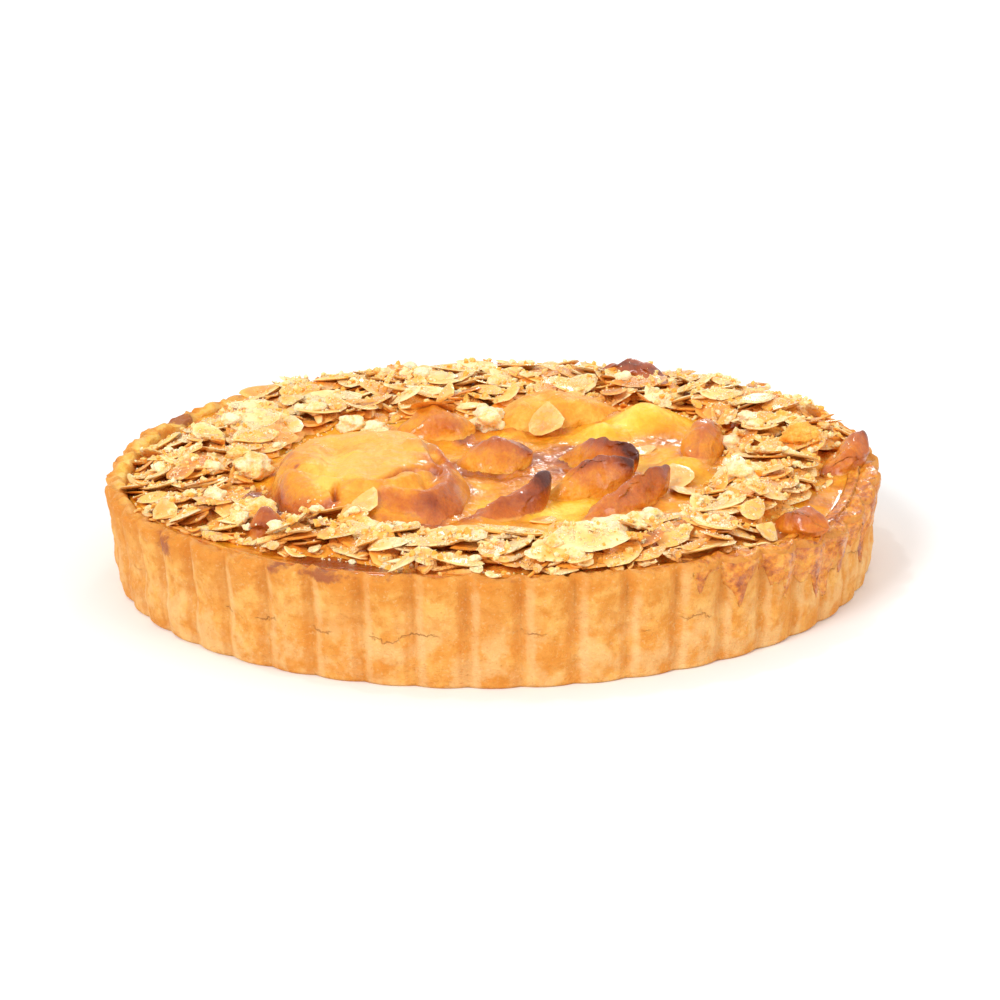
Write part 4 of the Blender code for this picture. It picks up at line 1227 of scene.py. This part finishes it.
# ---- The crumbs and the sugar ----
# Lumps and grains of the same buttery crumb between and on the flakes, and coarse sugar over everything.
LUMP_SEED = 5
LUMPS = (
    (-0.0758, -0.0153, 0.0062, 0.14),
    (-0.0473, 0.0350, 0.0044, 0.22),
    (-0.0389, 0.0330, 0.0046, 0.28),
    (-0.0005, 0.0400, 0.0066, 0.22),
    (0.0352, -0.0842, 0.0060, 0.24),
    (0.0430, -0.0800, 0.0044, 0.22),
    (0.0760, -0.0368, 0.0050, 0.16),
    (0.0980, -0.0077, 0.0058, -0.16),
    (-0.0700, -0.0640, 0.0050, 0.08),
)
RANDOM_LUMPS = 90
SMALL_CRUMBS = 2600
SUGAR_GRAINS = 5200


def round_grain(subdivisions):
    bpy.ops.mesh.primitive_ico_sphere_add(subdivisions=subdivisions, radius=1)
    ball = bpy.context.object
    points = points_of(ball)
    faces = np.array([tuple(face.vertices) for face in ball.data.polygons])
    bpy.data.objects.remove(ball)
    return points, faces


def border_spot(spill):
    """A chance place on the border, spilling past its edges by some distance, but seldom on the apple."""
    while True:
        turn = draw.uniform(0, math.tau)
        inner, outer = border_edges(turn)
        radius = math.sqrt(draw.uniform((inner - spill) ** 2, (outer + spill * 0.6) ** 2))
        x, y = radius * math.cos(turn), radius * math.sin(turn)
        if draw.random() < 0.15 or not apple_map[cell_of(np.array([x]), np.array([y]))][0]:
            return x, y


draw = random.Random(LUMP_SEED)
bpy.context.view_layer.update()
graph = bpy.context.evaluated_depsgraph_get()
trees = [BVHTree.FromObject(piece, graph) for piece in [crust, custard, crumb_bed, *apples, *almonds]]
lump_points, lump_faces = round_grain(4)
lumps, lump_tones = [], []
for number in range(len(LUMPS) + RANDOM_LUMPS):
    if number < len(LUMPS):
        x, y, size, tone = LUMPS[number]
    else:
        x, y = border_spot(0.002)
        size, tone = 0.0012 + 0.0022 * draw.random() ** 2, draw.gauss(0.20, 0.08)
    place = 50 * number
    coarse = drift(*(lump_points * 1.1 + (place, 0, 0)).T, 2)
    fine = drift(*(lump_points * 4 + (place, 0, 0)).T, 2)
    shaped = lump_points * (1 + 0.45 * coarse + 0.18 * fine)[:, None] * size
    shaped[:, 2] *= 0.65
    lumps.append(shaped + np.array((x, y, ground_under(x, y, trees) + size * 0.12)))
    lump_tones.append(np.full(len(shaped), tone))
    if number == len(LUMPS) - 1:
        joined("crumb_clusters", lumps, lump_faces, {"tone": lump_tones}, crumb_finish)
        lump_points, lump_faces = round_grain(3)
        lumps, lump_tones = [], []
joined("crumb_lumps", lumps, lump_faces, {"tone": lump_tones}, crumb_finish)

bit_points, bit_faces = round_grain(1)
bits, bit_tones = [], []
while len(bits) < SMALL_CRUMBS:
    x, y = border_spot(0.003)
    thick = noise.noise((x / 0.010, y / 0.010, 6.5)) + 0.6 * noise.noise((x / 0.004, y / 0.004, 1.5))
    if thick < draw.uniform(-0.4, 0.5):
        continue
    size = 0.0003 + 0.0009 * draw.random() ** 2
    uneven = np.array([draw.uniform(0.5, 1.5) for _ in bit_points])
    shaped = bit_points * uneven[:, None] * size
    bits.append(shaped + np.array((x, y, ground_under(x, y, trees) + size * 0.3)))
    bit_tones.append(np.full(len(shaped), draw.gauss(0.08, 0.12)))
joined("small_crumbs", bits, bit_faces, {"tone": bit_tones}, crumb_finish, smooth=False)

grains, grain_tones = [], []
while len(grains) < SUGAR_GRAINS:
    x, y = border_spot(0.004)
    thick = noise.noise((x / 0.009, y / 0.009, 2.5)) + 0.6 * noise.noise((x / 0.003, y / 0.003, 7.5))
    if thick < draw.uniform(-0.35, 0.65):
        continue
    size = draw.uniform(0.00016, 0.00034)
    stretch = np.array([draw.uniform(0.7, 1.2) for _ in range(3)])
    swing = Matrix.Rotation(draw.uniform(0, math.tau), 3, "Z")
    swing = swing @ Matrix.Rotation(draw.uniform(0, math.pi), 3, "X")
    shaped = (bit_points * stretch * size) @ np.array(swing).T
    grains.append(shaped + np.array((x, y, ground_under(x, y, trees) + size * 0.5)))
    grain_tones.append(np.full(len(shaped), draw.random()))
sugar = Finish("sugar_crystal", Subsurface_Weight=0.3, Subsurface_Scale=0.0008, Specular_IOR_Level=0.7)
sugar_finish = sugar.feed(
    Base_Color=sugar.mix(sugar.painted("tone"), (0.96, 0.64, 0.30), (0.98, 0.84, 0.62)),
    Roughness=0.22 + sugar.noise(2500, 1) * 0.2,
)
joined("coarse_sugar", grains, bit_faces, {"tone": grain_tones}, sugar_finish, smooth=False)

# ---- The floor, the light and the camera ----
# A plain pale floor under soft studio light, seen from the front and a little above.
CAMERA_TILT = 0.2975062754960185
CAMERA_DISTANCE = 0.8
SENSOR_WIDTH = 36
CAMERA_LENS = 2472.255794784156 * SENSOR_WIDTH / 1000
CAMERA_ROLL = -0.01512607577947186
CAMERA_AIM = 0.020
CAMERA_SHIFT = (0.0071, -0.0053)
WORLD_STRENGTH = 0.72
FLOOR_SIZE = 40.0

bpy.ops.mesh.primitive_plane_add(size=FLOOR_SIZE, location=(0, 0, 0))
floor = bpy.context.object
floor.name = "studio_floor"
paper = Finish("studio_paper")
floor.data.materials.append(paper.feed(
    Base_Color=paper.mix(paper.noise(3, 2), (0.90, 0.90, 0.895), (0.93, 0.93, 0.925)),
    Roughness=0.85 + paper.noise(40, 2) * 0.1,
))


def soft_sun(name, direction, strength, spread):
    """Even light from far off: spread is how wide its source looks, in degrees."""
    data = bpy.data.lights.new(name, "SUN")
    data.energy = strength
    data.angle = math.radians(spread)
    light = bpy.data.objects.new(name, data)
    light.location = direction
    light.rotation_euler = Vector(direction).to_track_quat("Z", "Y").to_euler()
    bpy.context.scene.collection.objects.link(light)


soft_sun("key_light", (-0.50, -0.62, 0.62), 1.66, 20)
soft_sun("fill_light", (0.80, -0.55, 0.45), 0.80, 35)
soft_sun("top_light", (0.10, 0.35, 0.90), 0.28, 50)
soft_sun("back_light", (0.12, 0.82, 0.42), 0.26, 8)
soft_sun("sparkle_light", (-0.30, 0.20, 0.90), 0.24, 3)
world = bpy.data.worlds.new("studio")
world.use_nodes = True
world.node_tree.nodes["Background"].inputs["Color"].default_value = (1, 1, 1, 1)
world.node_tree.nodes["Background"].inputs["Strength"].default_value = WORLD_STRENGTH
bpy.context.scene.world = world
bpy.context.scene.view_settings.view_transform = "Standard"

lens = bpy.data.cameras.new("camera")
lens.sensor_width = SENSOR_WIDTH
lens.lens = CAMERA_LENS
lens.shift_x, lens.shift_y = CAMERA_SHIFT
camera = bpy.data.objects.new("camera", lens)
place = (0, -CAMERA_DISTANCE * math.cos(CAMERA_TILT), CAMERA_DISTANCE * math.sin(CAMERA_TILT) + CAMERA_AIM)
turned = Matrix.Rotation(math.pi / 2 - CAMERA_TILT, 4, "X") @ Matrix.Rotation(CAMERA_ROLL, 4, "Z")
camera.matrix_world = Matrix.Translation(place) @ turned
bpy.context.scene.collection.objects.link(camera)
bpy.context.scene.camera = camera
